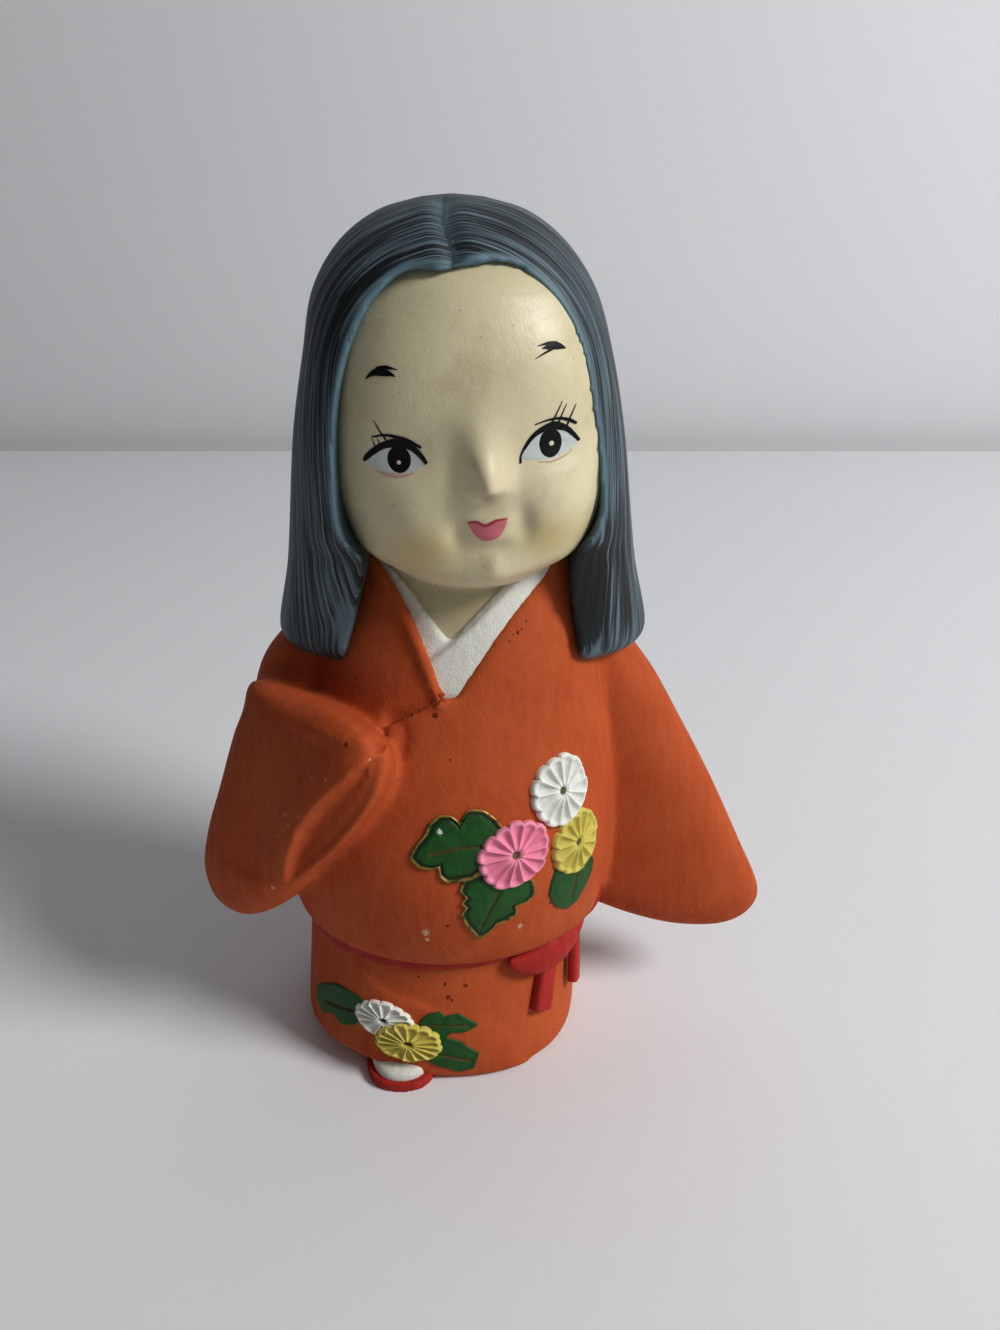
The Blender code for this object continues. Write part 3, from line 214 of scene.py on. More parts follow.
def refineWithin(obj, inside):  # halves the faces whose corners are all inside
    bm = bmesh.new()
    bm.from_mesh(obj.data)
    bm.verts.ensure_lookup_table()
    faces = [f for f in bm.faces if all(inside[v.index] for v in f.verts)]
    edges = list({e for f in faces for e in f.edges})
    bmesh.ops.subdivide_edges(bm, edges=edges, cuts=1, use_grid_fill=True)
    bm.to_mesh(obj.data)
    bm.free()
    obj.data.shade_smooth()


def vectorsOf(obj, key):
    flat = np.empty(len(obj.data.vertices) * 3)
    obj.data.vertices.foreach_get(key, flat)
    return flat.reshape(-1, 3)


def coordsOf(obj):  # vertex places in mm
    return vectorsOf(obj, "co") / mm


def normalsOf(obj):
    return vectorsOf(obj, "normal")


def setCoords(obj, coords):
    obj.data.vertices.foreach_set("co", (coords * mm).ravel())
    obj.data.update()


def paintMask(obj, name, values):  # a number at each vertex, for the paint to read
    layer = obj.data.attributes.new(name, "FLOAT", "POINT")
    layer.data.foreach_set("value", np.asarray(values, np.float32))


def maskOf(obj, name):
    values = np.empty(len(obj.data.vertices))
    obj.data.attributes[name].data.foreach_get("value", values)
    return values


def treeOf(obj):
    return BVHTree.FromObject(obj, bpy.context.evaluated_depsgraph_get())


def fromFront(tree, x, z):  # the surface straight behind (x, z), and its normal
    spot, normal, _, _ = tree.ray_cast(Vector((x * mm, -1, z * mm)), Vector((0, 1, 0)))
    return (spot / mm, normal) if spot else (None, None)


def ramp(low, high, values):
    t = np.clip((values - low) / (high - low), 0, 1)
    return t * t * (3 - 2 * t)


def bell(values, wide, power=2):  # 1 at nought, falling off on both sides
    return np.exp(-(values / wide) ** power)


def dab(x, z, spot, wide, tall, power=2):  # soft round patch about a spot
    return bell(x - spot[0], wide, power) * bell(z - spot[1], tall, power)


def farFrom(points, path):  # distance of 2-D points from a polyline
    path = np.asarray(path, float)
    best = np.full(len(points), 1e9)
    for a, b in zip(path, path[1:]):
        span = b - a
        t = np.clip(((points - a) @ span) / max(span @ span, 1e-9), 0, 1)
        best = np.minimum(best, np.linalg.norm(points - a - t[:, None] * span, axis=1))
    return best


# The paint effects are shader node groups, each built once.

def feed(tree, socket, value):  # a number, vector or colour is set on the socket, an output is linked
    if isinstance(value, (int, float, tuple)):
        socket.default_value = value
    elif value is not None:
        tree.links.new(value, socket)


def newGroup(name, outputs, **inputs):
    group = bpy.data.node_groups.new(name, "ShaderNodeTree")
    for label, default in {"Vector": (0, 0, 0), **inputs}.items():
        kind = "NodeSocketVector" if isinstance(default, tuple) else "NodeSocketFloat"
        group.interface.new_socket(label, in_out="INPUT", socket_type=kind).default_value = default
    for label in outputs:
        group.interface.new_socket(label, in_out="OUTPUT", socket_type="NodeSocketFloat")
    return group, group.nodes.new("NodeGroupInput").outputs, group.nodes.new("NodeGroupOutput").inputs


def mathNode(tree, operation, a, b, c=None, clamp=False):
    node = tree.nodes.new("ShaderNodeMath")
    node.operation, node.use_clamp = operation, clamp
    for socket, value in zip(node.inputs, (a, b, c)):
        feed(tree, socket, value)
    return node.outputs[0]


def times(tree, a, b):
    return mathNode(tree, "MULTIPLY", a, b)


def plus(tree, a, b):
    return mathNode(tree, "ADD", a, b)


def less(tree, a, b):
    return mathNode(tree, "SUBTRACT", a, b)


def vectorNode(tree, operation, a, b=None):
    node = tree.nodes.new("ShaderNodeVectorMath")
    node.operation = operation
    for socket, value in zip(node.inputs, (a, b)):
        feed(tree, socket, value)
    return node.outputs["Value" if operation in ("LENGTH", "DOT_PRODUCT") else "Vector"]


def noiseNode(tree, vector, scale, detail=3.0, rough=0.55):
    node = tree.nodes.new("ShaderNodeTexNoise")
    for label, value in (("Vector", vector), ("Scale", scale), ("Detail", detail), ("Roughness", rough)):
        feed(tree, node.inputs[label], value)
    return node.outputs["Fac"]


def smoothStep(tree, value, low, high):
    node = tree.nodes.new("ShaderNodeMapRange")
    node.interpolation_type = "SMOOTHSTEP"
    for label, item in (("Value", value), ("From Min", low), ("From Max", high)):
        feed(tree, node.inputs[label], item)
    return node.outputs["Result"]


def srgb(shade):  # a colour as seen, 0 to 255, for the shader
    return (*(((c / 255 + 0.055) / 1.055) ** 2.4 if c > 10 else c / 255 / 12.92 for c in shade), 1.0)


def mixColour(tree, amount, first, second):
    node = tree.nodes.new("ShaderNodeMix")
    node.data_type = "RGBA"
    for slot, value in ((0, amount), (6, first), (7, second)):
        feed(tree, node.inputs[slot], value)
    return node.outputs[2]


def coats(tree, look, layers):  # shades laid over the look's colour, each where its mask says
    colour = srgb(look["colour"])
    for mask, shade, share in layers:
        colour = mixColour(tree, mask if share == 1 else times(tree, mask, share), colour, srgb(look[shade]))
    return colour


def buildBrushGroup():  # long soft streaks of a loaded brush
    group, given, out = newGroup("brushStreaks", ("Streak", "Patch"), Stretch=(1, 1, 1), Scale=300.0)
    along = vectorNode(group, "MULTIPLY", given["Vector"], given["Stretch"])
    streak = noiseNode(group, along, given["Scale"], 4.0, 0.6)
    patch = noiseNode(group, given["Vector"], times(group, given["Scale"], 0.09), 3.0, 0.5)
    feed(group, out["Streak"], smoothStep(group, streak, 0.3, 0.7))
    feed(group, out["Patch"], smoothStep(group, patch, 0.35, 0.68))
    return group


def buildGrainGroup():  # sandy surface of fired clay under thin paint
    group, given, out = newGroup("clayGrain", ("Height",), Scale=2200.0)
    fine = noiseNode(group, given["Vector"], given["Scale"], 2.0, 0.6)
    broad = noiseNode(group, given["Vector"], times(group, given["Scale"], 0.22), 2.0, 0.5)
    feed(group, out["Height"], plus(group, times(group, fine, 0.55), times(group, broad, 0.6)))
    return group


def buildSpeckGroup():  # scattered small marks: cells of a voronoi with a random few kept
    group, given, out = newGroup("ageSpecks", ("Mask",), Scale=500.0, Share=0.1, Size=0.2)
    cells = group.nodes.new("ShaderNodeTexVoronoi")
    feed(group, cells.inputs["Vector"], given["Vector"])
    feed(group, cells.inputs["Scale"], given["Scale"])
    split = group.nodes.new("ShaderNodeSeparateColor")
    feed(group, split.inputs[0], cells.outputs["Color"])
    kept = mathNode(group, "LESS_THAN", split.outputs[0], given["Share"])
    reach = times(group, given["Size"], plus(group, 0.35, split.outputs[1]))
    wobble = times(group, noiseNode(group, given["Vector"], 3500.0, 1.0), 0.12)
    near = plus(group, cells.outputs["Distance"], wobble)
    dot = less(group, 1.0, smoothStep(group, near, times(group, reach, 0.6), reach))
    feed(group, out["Mask"], times(group, dot, kept))
    return group


def buildEdgeGroup():  # paint worn thin on the sharpest edges, soiling and painted shade darkening the folds
    group, given, out = newGroup("edgesAndFolds", ("Worn", "GrimeAndShade"), Edge=0.56, Fold=0.45)
    shape = group.nodes.new("ShaderNodeNewGeometry").outputs["Pointiness"]
    uneven = times(group, noiseNode(group, given["Vector"], 260.0, 4.0, 0.65), 0.05)
    high = less(group, plus(group, shape, uneven), 0.025)
    worn = smoothStep(group, high, given["Edge"], plus(group, given["Edge"], 0.05))
    deep = smoothStep(group, shape, less(group, given["Fold"], 0.05), given["Fold"])
    feed(group, out["Worn"], worn)
    # the folds darken with soiling and painted shade together
    feed(group, out["GrimeAndShade"], less(group, 1.0, deep))
    return group


def buildMarkGroup():  # one ragged chip or pit at a stated place on the front
    group, given, out = newGroup("frontMark", ("Mask",), Point=(0, 0, 0), Size=0.001)
    away = vectorNode(group, "SUBTRACT", given["Vector"], given["Point"])
    reach = vectorNode(group, "LENGTH", vectorNode(group, "MULTIPLY", away, (1.0, 0.0, 0.8)))
    split = group.nodes.new("ShaderNodeSeparateXYZ")
    feed(group, split.inputs[0], given["Vector"])
    facing = mathNode(group, "LESS_THAN", split.outputs[1], -0.01)
    ragged = noiseNode(group, given["Vector"], 3000.0, 3.0, 0.7)
    edge = times(group, given["Size"], mathNode(group, "MULTIPLY_ADD", ragged, 3.6, -0.8))
    mask = less(group, 1.0, smoothStep(group, reach, times(group, edge, 0.75), edge))
    feed(group, out["Mask"], times(group, mask, facing))
    return group


groups = {"brush": buildBrushGroup(), "mark": buildMarkGroup(), "grain": buildGrainGroup(),
          "specks": buildSpeckGroup(), "edges": buildEdgeGroup()}


def placeGroup(tree, key, vector, **values):
    node = tree.nodes.new("ShaderNodeGroup")
    node.node_tree = groups[key]
    feed(tree, node.inputs["Vector"], vector)
    for label, value in values.items():
        feed(tree, node.inputs[label], value)
    return node.outputs


def readMask(tree, name):
    node = tree.nodes.new("ShaderNodeAttribute")
    node.attribute_name = name
    return node.outputs["Fac"]


def startPaint(name):  # material with a Principled shader and object coordinates
    material = bpy.data.materials.new(name)
    material.use_nodes = True
    tree = material.node_tree
    place = tree.nodes.new("ShaderNodeTexCoord").outputs["Object"]
    return material, tree, tree.nodes["Principled BSDF"], place


def closePaint(tree, shader, colour, rough, gloss, height=None, depth=0.0):  # depth of the bumps in mm
    for label, value in (("Base Color", colour), ("Roughness", rough), ("Specular IOR Level", gloss)):
        feed(tree, shader.inputs[label], value)
    if height is not None:
        bump = tree.nodes.new("ShaderNodeBump")
        feed(tree, bump.inputs["Distance"], depth * mm)
        feed(tree, bump.inputs["Height"], height)
        feed(tree, shader.inputs["Normal"], bump.outputs["Normal"])


def clayPaint(name, look):
    # thin matt colour on fired clay: streaks, patches, soiling and painted shade in the folds, chips down to
    # the clay
    material, tree, shader, place = startPaint(name)
    brush = placeGroup(tree, "brush", place, Stretch=look["stretch"], Scale=look["streakScale"])
    edges = placeGroup(tree, "edges", place, Edge=look["edge"], Fold=look["fold"])
    specks = placeGroup(tree, "specks", place, Scale=look["speckScale"], Share=look["speckShare"],
                        Size=look["speckSize"])["Mask"]
    grain = placeGroup(tree, "grain", place, Scale=look["grainScale"])
    # folds darken with soiling and painted shade; specks and pits take the same dark colour
    layers = [(brush["Streak"], "deep", look["streak"]), (brush["Patch"], "light", look["patch"]),
              (edges["Worn"], "rubbed", look["worn"]), (edges["GrimeAndShade"], "dirtAndShade", look["grimeAndShade"]),
              (specks, "dirtAndShade", 0.75)]
    for marks, shade in (("pits", "dirtAndShade"), ("bare", "clay")):
        for x, z, size in look[marks]:
            mark = placeGroup(tree, "mark", place, Point=(x * mm, 0, z * mm), Size=size * mm)
            layers.append((mark["Mask"], shade, 0.85))
    rough = plus(tree, look["rough"] - 0.08, times(tree, brush["Streak"], 0.16))
    closePaint(tree, shader, coats(tree, look, layers), rough, look["gloss"],
               less(tree, grain["Height"], times(tree, specks, 0.6)), look["grainDepth"])
    return material


def dress(obj, material):
    obj.data.materials.clear()
    obj.data.materials.append(material)
    obj.data.shade_smooth()
    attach(obj, "root")
    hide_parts("figurine")


bodyForm = {
    "skirtMiddle": (0, -3), "hem": (29, 27.5, 26), "hemSquare": 2.5, "skirtTop": (27.7, 25, 24.5),
    "sashBottom": 25.0, "sashProud": 1.3, "sashLow": 26.3, "sashTop": 33.0, "layerStep": 1.3,
    # wrapped edge, left of and below one long curve in (x, z)
    "panel": [(-19, 33), (-13.5, 22.5), (-1.5, 17), (11.4, 11.7), (20, -1)], "panelProud": 0.7,
    "hemLift": 4.5, "liftReach": 12.6, "liftSide": (-31, 2), "liftFront": (4, -31), "hemTuck": 2.6,
    # z, x, half width, front, back
    "kimono": [(27.5, 2, 28, 23.3, 22), (29.2, 2, 32, 27.3, 26), (31, 2, 33, 28.3, 27),
               (45, 2, 34.3, 31, 28), (60, 3.25, 32.5, 28, 27), (73, 4.5, 30, 23.5, 25),
               (88, 5.9, 27, 18.5, 21), (100, 7.3, 22, 15, 15), (108, 7.3, 20, 12.5, 13)],
}


def kimonoRings(inset=0.0, start=0):
    return [section(z, x, -3, half - inset, front - inset, back - inset)
            for z, x, half, front, back in bodyForm["kimono"][start:]]


def castingHollow():  # the inside of the shell, open at the vent behind the middle of the base
    x, y = bodyForm["skirtMiddle"]
    rings = [section(-1, x, 10.5, 7, 7, 7), section(4, x, 10.5, 7, 7, 7),
             section(8, x, y, 22, 19.5, 18), section(22.5, x, y, 23.3, 20, 19.5),
             section(45, 2, y, 27.8, 24.5, 21.5), section(60, 3.25, y, 26, 21.5, 20.5),
             section(73, 4.5, y, 23.5, 17, 18.5), section(94, 5.4, 2, 19, 12, 19),
             section(110, 7.5, 2, 18, 14, 20.5), section(128, 7.5, 2, 20, 17.6, 20.5),
             section(141, 7.5, 2, 18, 17.1, 18), section(155, 5.4, 2, 8, 8, 8),
             section(157.5, 5.4, 2, 2.4, 2.5, 2.5)]
    return loft("castingHollow", rings, 48, 5)


def hemLift():  # air under the hem where it rises at the front left, outside the tucked-in base
    form = bodyForm
    side, front = Vector((*form["liftSide"], 0)), Vector((*form["liftFront"], 0))
    along = (front - side).normalized()
    out = Vector((along.y, -along.x, 0))
    slope, reach = form["hemLift"] / form["liftReach"], 3 * form["liftReach"]
    bm = bmesh.new()
    ends = [[bm.verts.new((spot + out * away + Vector((0, 0, z))) * mm)
             for away, z in ((-1 / slope, -1), (reach, reach * slope), (reach, -1))]
            for spot in (side - along * reach, front + along * reach)]
    bm.faces.new(ends[0])
    bm.faces.new(ends[1][::-1])
    bridge(bm, *ends, inward=True)
    x, y = form["skirtMiddle"]
    half, front, back = form["hem"]
    core = loft("hemCore", [section(z, x, y, half - form["hemTuck"], front - form["hemTuck"], back,
                                    form["hemSquare"]) for z in (-2, 2 * reach * slope)], 96)
    return combine(newObject("hemLift", bm), core, "DIFFERENCE")


def makeSkirt():
    form = bodyForm
    x, y = form["skirtMiddle"]
    half, front, back = form["hem"]
    topHalf, topFront, topBack = form["skirtTop"]

    def shell(name, proud):
        return loft(name, [
            section(0, x, y, half - 1.2 + proud, front - 1.2 + proud, back - 1.2, form["hemSquare"]),
            section(1.2, x, y, half + proud, front + proud, back, form["hemSquare"]),
            section(form["sashBottom"], x, y, topHalf + proud, topFront + proud, topBack, 2.2),
            section(form["sashTop"] + 3, x, y, topHalf + proud, topFront + proud, topBack, 2.0)], 96)

    skirt = shell("skirt", 0.0)
    panel = shell("panel", form["panelProud"])
    curve = [tuple(p) for p in flowThrough(form["panel"], 2)]
    combine(panel, prism("panelSide", curve + [(-45, -1), (-45, 33)], -3), "INTERSECT")
    combine(skirt, panel, "UNION")
    combine(skirt, hemLift(), "DIFFERENCE")
    combine(skirt, castingHollow(), "DIFFERENCE")
    soften(skirt, 0.6, 4)
    # the panel's edge fades out to the right
    rubWithin(skirt, lambda x, y, z: ramp(2, 9, x) * ramp(-6, -12, y) * ramp(1.2, 3, z) * ramp(24, 20, z), 80)
    coords = coordsOf(skirt)
    coords[:, 2] = np.maximum(coords[:, 2], 0.0)
    setCoords(skirt, coords)
    return skirt


def makeSash():
    form = bodyForm
    x, y = form["skirtMiddle"]
    half, front, back = [v + form["sashProud"] for v in form["skirtTop"]]
    low = form["sashLow"]
    rings = [section(low, x, y, half - 1.2, front - 1.2, back - 1.2, 2.1),
             section(low + 0.5, x, y, half - 0.2, front - 0.2, back - 0.2, 2.1),
             section(low + 2, x, y, half, front, back, 2.1),
             section(form["sashTop"], x, y, half, front, back, 2.1)]
    sash = loft("sash", rings, 96)
    combine(sash, castingHollow(), "DIFFERENCE")
    return soften(sash, 0.6, 3)


sleeveForm = {
    "bentTop": 82.5, "bentBottom": 33.0, "elbow": (-35.9, -7), "armElbowX": -37.0, "wrist": (-8, -34.5),
    "corner": (-47, -10), "mouthEnd": (-28, -25), "bentThick": 15.0, "fill": 9.0,
    "armTop": 96.0, "armMiddle": (-22, 2), "armThick": 19.0,
    "hangCorner": (69.5, 27.5), "hangBottom": 18.0, "hangTop": 95.0, "hangThick": 17.0,
    "armpitX": 27.0, "shoulderX": 41.5, "hangY": -2.5, "swell": 1.6,
}


def lerp(a, b, t):
    return tuple(p + (q - p) * t for p, q in zip(a, b))


def makeBentSleeve():
    form = sleeveForm
    tall = form["bentTop"] - form["bentBottom"]
    thick = form["bentThick"]

    def level(share, outerShare, innerShare, width, trim, fill):
        outer = Vector(lerp(form["corner"], form["elbow"], outerShare))
        inner = Vector(lerp(form["mouthEnd"], form["wrist"], innerShare))
        along = (inner - outer).normalized() * trim
        row = list(strap(form["bentBottom"] + tall * share, inner - along, outer + along, thick * width))
        row[5] += form["fill"] * fill
        return tuple(row)

    return loft("bentSleeve", [
        level(0.0, 0.0, -0.35, 0.25, 5, 0.4), level(0.05, 0.0, -0.25, 0.6, 1.5, 0.8),
        level(0.16, 0.0, 0.0, 0.8, 0, 1), level(0.32, 0.15, 0.30, 0.95, 0, 1),
        level(0.52, 0.45, 0.68, 1, 0, 1), level(0.74, 0.78, 0.95, 1, 0, 0.7),
        level(0.89, 0.97, 1.0, 0.85, 0.6, 0.2), level(0.96, 0.86, 0.98, 0.6, 2, 0),
        level(1.0, 0.66, 0.90, 0.2, 5, 0)], 56)


def makeUpperArm():
    form = sleeveForm
    x, y = form["armMiddle"]
    inner, shoulder = (x + 10, y), (x, y)
    elbow, corner = (form["armElbowX"], y - 2), (form["corner"][0] + 3, y - 5)
    low, thick = form["bentBottom"] + 2, form["armThick"]
    return loft("upperArm", [
        strap(low, inner, lerp(corner, inner, 0.3), thick * 0.25),
        strap(low + 2, inner, lerp(corner, inner, 0.08), thick * 0.6),
        strap(low + 9, inner, corner, thick * 0.85),
        strap(60, inner, lerp(corner, elbow, 0.6), thick),
        strap(form["bentTop"] - 6, inner, elbow, thick),
        strap(form["bentTop"], inner, lerp(elbow, shoulder, 0.15), thick),
        strap(89, inner, lerp(elbow, shoulder, 0.55), thick * 0.9),
        strap(form["armTop"] - 2, inner, shoulder, thick * 0.6),
        strap(form["armTop"], inner, lerp(shoulder, inner, 0.5), thick * 0.25)], 56)


def makeHangingSleeve():
    form = sleeveForm
    inner, corner = (form["armpitX"], 0), (form["hangCorner"][0], form["hangY"])
    shoulder = (form["shoulderX"], form["hangY"] + 1.5)
    cornerZ, thick = form["hangCorner"][1], form["hangThick"]

    def level(share, reachIn):
        outer = lerp(corner, shoulder, share * 1.12)
        outer = (outer[0] + form["swell"] * math.sin(math.pi * share), outer[1])
        return strap(cornerZ + (88 - cornerZ) * share, (inner[0] - reachIn, inner[1]), outer,
                     thick * (0.82 + 0.2 * share))

    return loft("hangingSleeve", [
        strap(form["hangBottom"], lerp(corner, inner, 0.42), lerp(corner, inner, 0.22), thick * 0.2),
        strap(form["hangBottom"] + 1.6, lerp(corner, inner, 0.58), lerp(corner, inner, 0.10), thick * 0.5),
        strap((form["hangBottom"] + cornerZ) / 2, lerp(corner, inner, 0.80), lerp(corner, inner, 0.02),
              thick * 0.7),
        level(0, 0), level(0.2, 3), level(0.45, 4), level(0.7, 6), level(0.88, 8),
        strap(form["hangTop"] - 2, (inner[0] - 14, 0), (inner[0] + 5, 0), thick * 0.7),
        strap(form["hangTop"], (inner[0] - 12, 0), inner, thick * 0.3)], 56)


neckline = {
    # opening of the kimono and of the white under collar, in (x, z) on the front
    "left": [(2.3, 82.0), (-0.9, 90.0), (-3.6, 95.8), (-6.9, 100.8), (-10.8, 105.0), (-15.5, 110.0)],
    "right": [(2.3, 82.0), (7.6, 88.9), (11.2, 93.9), (14.2, 97.6), (17.2, 100.9), (20.9, 104.6),
              (26.0, 110.0)],
    "skin": [(3.4, 92.2), (9.9, 98.6), (13.5, 102.2), (23.0, 110.0), (-14.0, 110.0), (-3.4, 100.4),
             (0.2, 96.0)],
    "lap": [(-2.0, 87.6), (0.3, 89.6), (3.4, 92.0), (7.8, 95.7), (12.8, 100.6), (22.0, 109.0)],
    "lapStep": 0.55, "rim": 1.25, "bevel": 0.9, "sleeveCorner": (-7.4, 78.3),
    "crease": [(2.8, 83.4), (-1.7, 80.9), (-7.6, 77.6)], "creaseDeep": 1.0, "creaseProud": 0.45,
}


mouthForm = {  # opening of the bent sleeve, in (x, z) on its front
    "crest": [(-7.6, 78.2), (-8.8, 77.9), (-12.7, 75.3), (-17.3, 70.6), (-21.1, 65.9), (-24.3, 60.7),
              (-26.4, 55.0), (-27.4, 50.8), (-28.2, 45.6)],
    "rim": [(-7.6, 78.2), (-6.9, 76.4), (-7.6, 74.0), (-9.4, 69.3), (-13.2, 63.5), (-18.3, 56.6),
            (-24.2, 50.0), (-26.6, 47.6), (-28.2, 45.6)],
    "deep": 2.6, "bandWide": 2.2, "lip": 0.25, "fold": 0.45, "slope": 1.1, "inBox": 0.12,
}


def insideOf(points, outline):  # even-odd test for 2-D points
    x, z = points.T
    found = np.zeros(len(points), bool)
    for (ax, az), (bx, bz) in zip(outline, outline[1:] + outline[:1]):
        if az != bz:
            crossed = ((az > z) != (bz > z)) & (x < (bx - ax) * (z - az) / (bz - az) + ax)
            found ^= crossed
    return found


def shapeMouth(kimono):  # hollow lens: a steep band inside the crest, a flat floor, a rolled rim
    form = mouthForm
    loop, lens = form["crest"] + form["rim"][::-1], form["crest"] + form["rim"][:0:-1]
    coords = coordsOf(kimono)
    flat = coords[:, [0, 2]]
    front = coords[:, 1] < -22
    around = front & (coords[:, 0] < 0) & (farFrom(flat, loop) < 4)
    refineWithin(kimono, around | (front & insideOf(flat, lens)))
    coords, normals = coordsOf(kimono), normalsOf(kimono)
    flat = coords[:, [0, 2]]
    crest, rim = farFrom(flat, form["crest"]), farFrom(flat, form["rim"])
    near = (coords[:, 1] < -20) & (coords[:, 0] < 0)
    within = insideOf(flat, lens)
    wide = np.minimum(1, (crest + rim) / 5.0)
    across = crest / np.maximum(crest + rim, 0.1)
    floor = ramp(0.0, form["bandWide"], crest) * (1 - 0.55 * ramp(0.35, 1.0, across))
    push = -form["deep"] * wide * floor * ramp(0.0, 0.9, rim) * within
    push = push + form["lip"] * bell(np.minimum(crest, rim), 0.9)
    left = ~within & (crest < rim)
    push = push - form["slope"] * ramp(0.3, 7.0, crest) * ramp(16.0, 7.0, crest) * left
    beyond = ~within & (rim <= crest)
    push = push - form["fold"] * bell(rim - 2.4, 1.1) * beyond
    ends = ramp(44.0, 50.0, coords[:, 2]) * ramp(80.5, 77.5, coords[:, 2])
    fade = np.where(near, ends * ramp(0.1, 0.5, -normals[:, 1] + 0.2), 0)
    coords = coords + normals * (push * fade)[:, None]
    coords[:, 1] = np.maximum(coords[:, 1], cadBox[0][1] / mm + form["inBox"])
    setCoords(kimono, coords)


def makeKimonoTop():
    cut = neckline
    kimono = loft("kimonoTop", kimonoRings(), 96)
    tree = treeOf(kimono)
    rows = flowThrough([(x, z) for x, z in cut["left"][:-1]], 1.8)  # rolled edge left of the neck opening
    hits = [fromFront(tree, x - 0.3, z) for x, z in rows]
    rim = tube("rim", [spot - normal * 0.2 for spot, normal in hits], [cut["rim"]] * len(hits), 0.9,
               [normal for _, normal in hits])
    combine(kimono, prism("neckCut", cut["right"] + cut["left"][:0:-1], -3), "DIFFERENCE")
    for part in (rim, makeHangingSleeve(), makeUpperArm(), makeBentSleeve()):
        combine(kimono, part, "UNION")
    combine(kimono, castingHollow(), "DIFFERENCE")
    soften(kimono, 0.70, 5)
    # the shoulder's soft corner, then the mouth and the corner where sleeve meets lapel
    rubWithin(kimono, lambda x, y, z: ramp(-18, -27, x) * ramp(70, 77, z) * ramp(96, 89, z), 120)
    shapeMouth(kimono)
    rubWithin(kimono, lambda x, y, z:
              (y < -18) * ramp(0, -4, x) * ramp(42, 45, z) * ramp(83, 80, z) * 0.6, 7)
    rubWithin(kimono, lambda x, y, z: (y < -12) * dab(x, z, cut["sleeveCorner"], 2.8, 2.4), 70)
    shapeNeckline(kimono)
    return kimono


def shapeNeckline(kimono):  # soft bevel right of the opening, and the fold from its tip to the sleeve
    cut = neckline
    coords = coordsOf(kimono)
    front = (coords[:, 1] < -9) & (coords[:, 0] > -10)
    refineWithin(kimono, front & (farFrom(coords[:, [0, 2]], cut["crease"]) < 2.6))
    coords, normals = coordsOf(kimono), normalsOf(kimono)
    x, y, z = coords.T
    flat = coords[:, [0, 2]]
    right, fold = farFrom(flat, cut["right"][:-1]), farFrom(flat, cut["crease"])
    front = (y < -9) & (x > -10) & (normals[:, 1] < 0.1)
    line = np.interp(x, *zip(*cut["crease"][::-1]))
    folded = np.where(z > line, -cut["creaseDeep"] * bell(fold, 2.2), cut["creaseProud"] * bell(fold, 2.4))
    push = folded * ramp(-9.5, -7.0, x)
    push = push - cut["bevel"] * bell(right, 1.5) * ramp(82, 85, z)
    setCoords(kimono, coords + normals * (push * front)[:, None])
    near = bell(np.minimum(right, fold), 2.0)
    rubWithin(kimono, lambda x, y, z: (y < -9) * ramp(-12, -8, x) * near * 0.7, 3)


def makeUnderCollar():
    cut = neckline
    collar = loft("underCollar", kimonoRings(bodyForm["layerStep"], 4), 96)
    combine(collar, prism("skinCut", cut["skin"], -3), "DIFFERENCE")
    combine(collar, castingHollow(), "DIFFERENCE")
    soften(collar, 0.6, 3)
    coords, normals = coordsOf(collar), normalsOf(collar)
    flat = coords[:, [0, 2]]
    rightOf = insideOf(flat, cut["lap"] + [(40, 109), (40, 60), (-2, 60)])
    side = np.where(rightOf, 1, -1) * farFrom(flat, cut["lap"])
    step = cut["lapStep"] * ramp(-0.1, 0.7, side) - 0.25 * bell(side + 0.3, 0.5)
    step = step * ramp(80, 84, coords[:, 2]) - 0.8 * ramp(83, 80, coords[:, 2])  # deeper under the fold
    front = (coords[:, 1] < -8) & (normals[:, 1] < 0)
    setCoords(collar, coords + normals * (step * front)[:, None])
    return collar


headForm = {
    "middle": (7.5, -1.0), "chinZ": 101.6, "jawZ": 109.2, "cheekZ": 116.0, "eyeZ": 128.0, "browZ": 141.0,
    "halfWidth": 25.0, "front": 24.6, "back": 18.0, "square": 2.65, "jaw": 21.5, "chin": 11.0,
    "roll": 6.0, "turn": 2.2, "topZ": 155.4,
    "noseHigh": 3.8, "noseWide": 2.7, "noseLong": 7.4,
    # soft dabs on the face: across, up, half width, half height, lift
    "dabs": [
        (-12.2, 0.0, 5.4, 3.6, -0.75), (12.2, 0.0, 5.4, 3.6, -0.75),  # eye sockets
        (-12.0, -11.5, 6.0, 5.5, 1.2), (12.0, -11.5, 6.0, 5.5, 1.2),  # cheeks
        (-5.6, -12.8, 1.9, 3.4, -1.0), (5.6, -12.8, 1.9, 3.4, -1.0),  # beside the mouth
        (0.0, -11.9, 3.6, 1.1, 0.55), (0.0, -14.2, 2.4, 1.2, 0.6),  # lips
        (0.0, -16.8, 3.6, 1.3, -0.5), (0.0, -21.6, 5.0, 3.4, 1.1), (0.0, -19.4, 1.5, 2.6, 0.4),  # chin
        (-4.4, -3.5, 1.9, 4.5, -0.4), (5.6, -3.5, 2.4, 4.5, -0.3),  # beside the nose
        (0.0, 15.0, 12.0, 7.0, 0.5)],  # forehead
}


def faceCoords(x, z):  # across and up the face, which leans by its roll
    roll = math.radians(headForm["roll"])
    right, above = x - headForm["middle"][0], z - headForm["eyeZ"]
    across = right * math.cos(roll) + above * math.sin(roll)
    return across - headForm["turn"], above * math.cos(roll) - right * math.sin(roll)


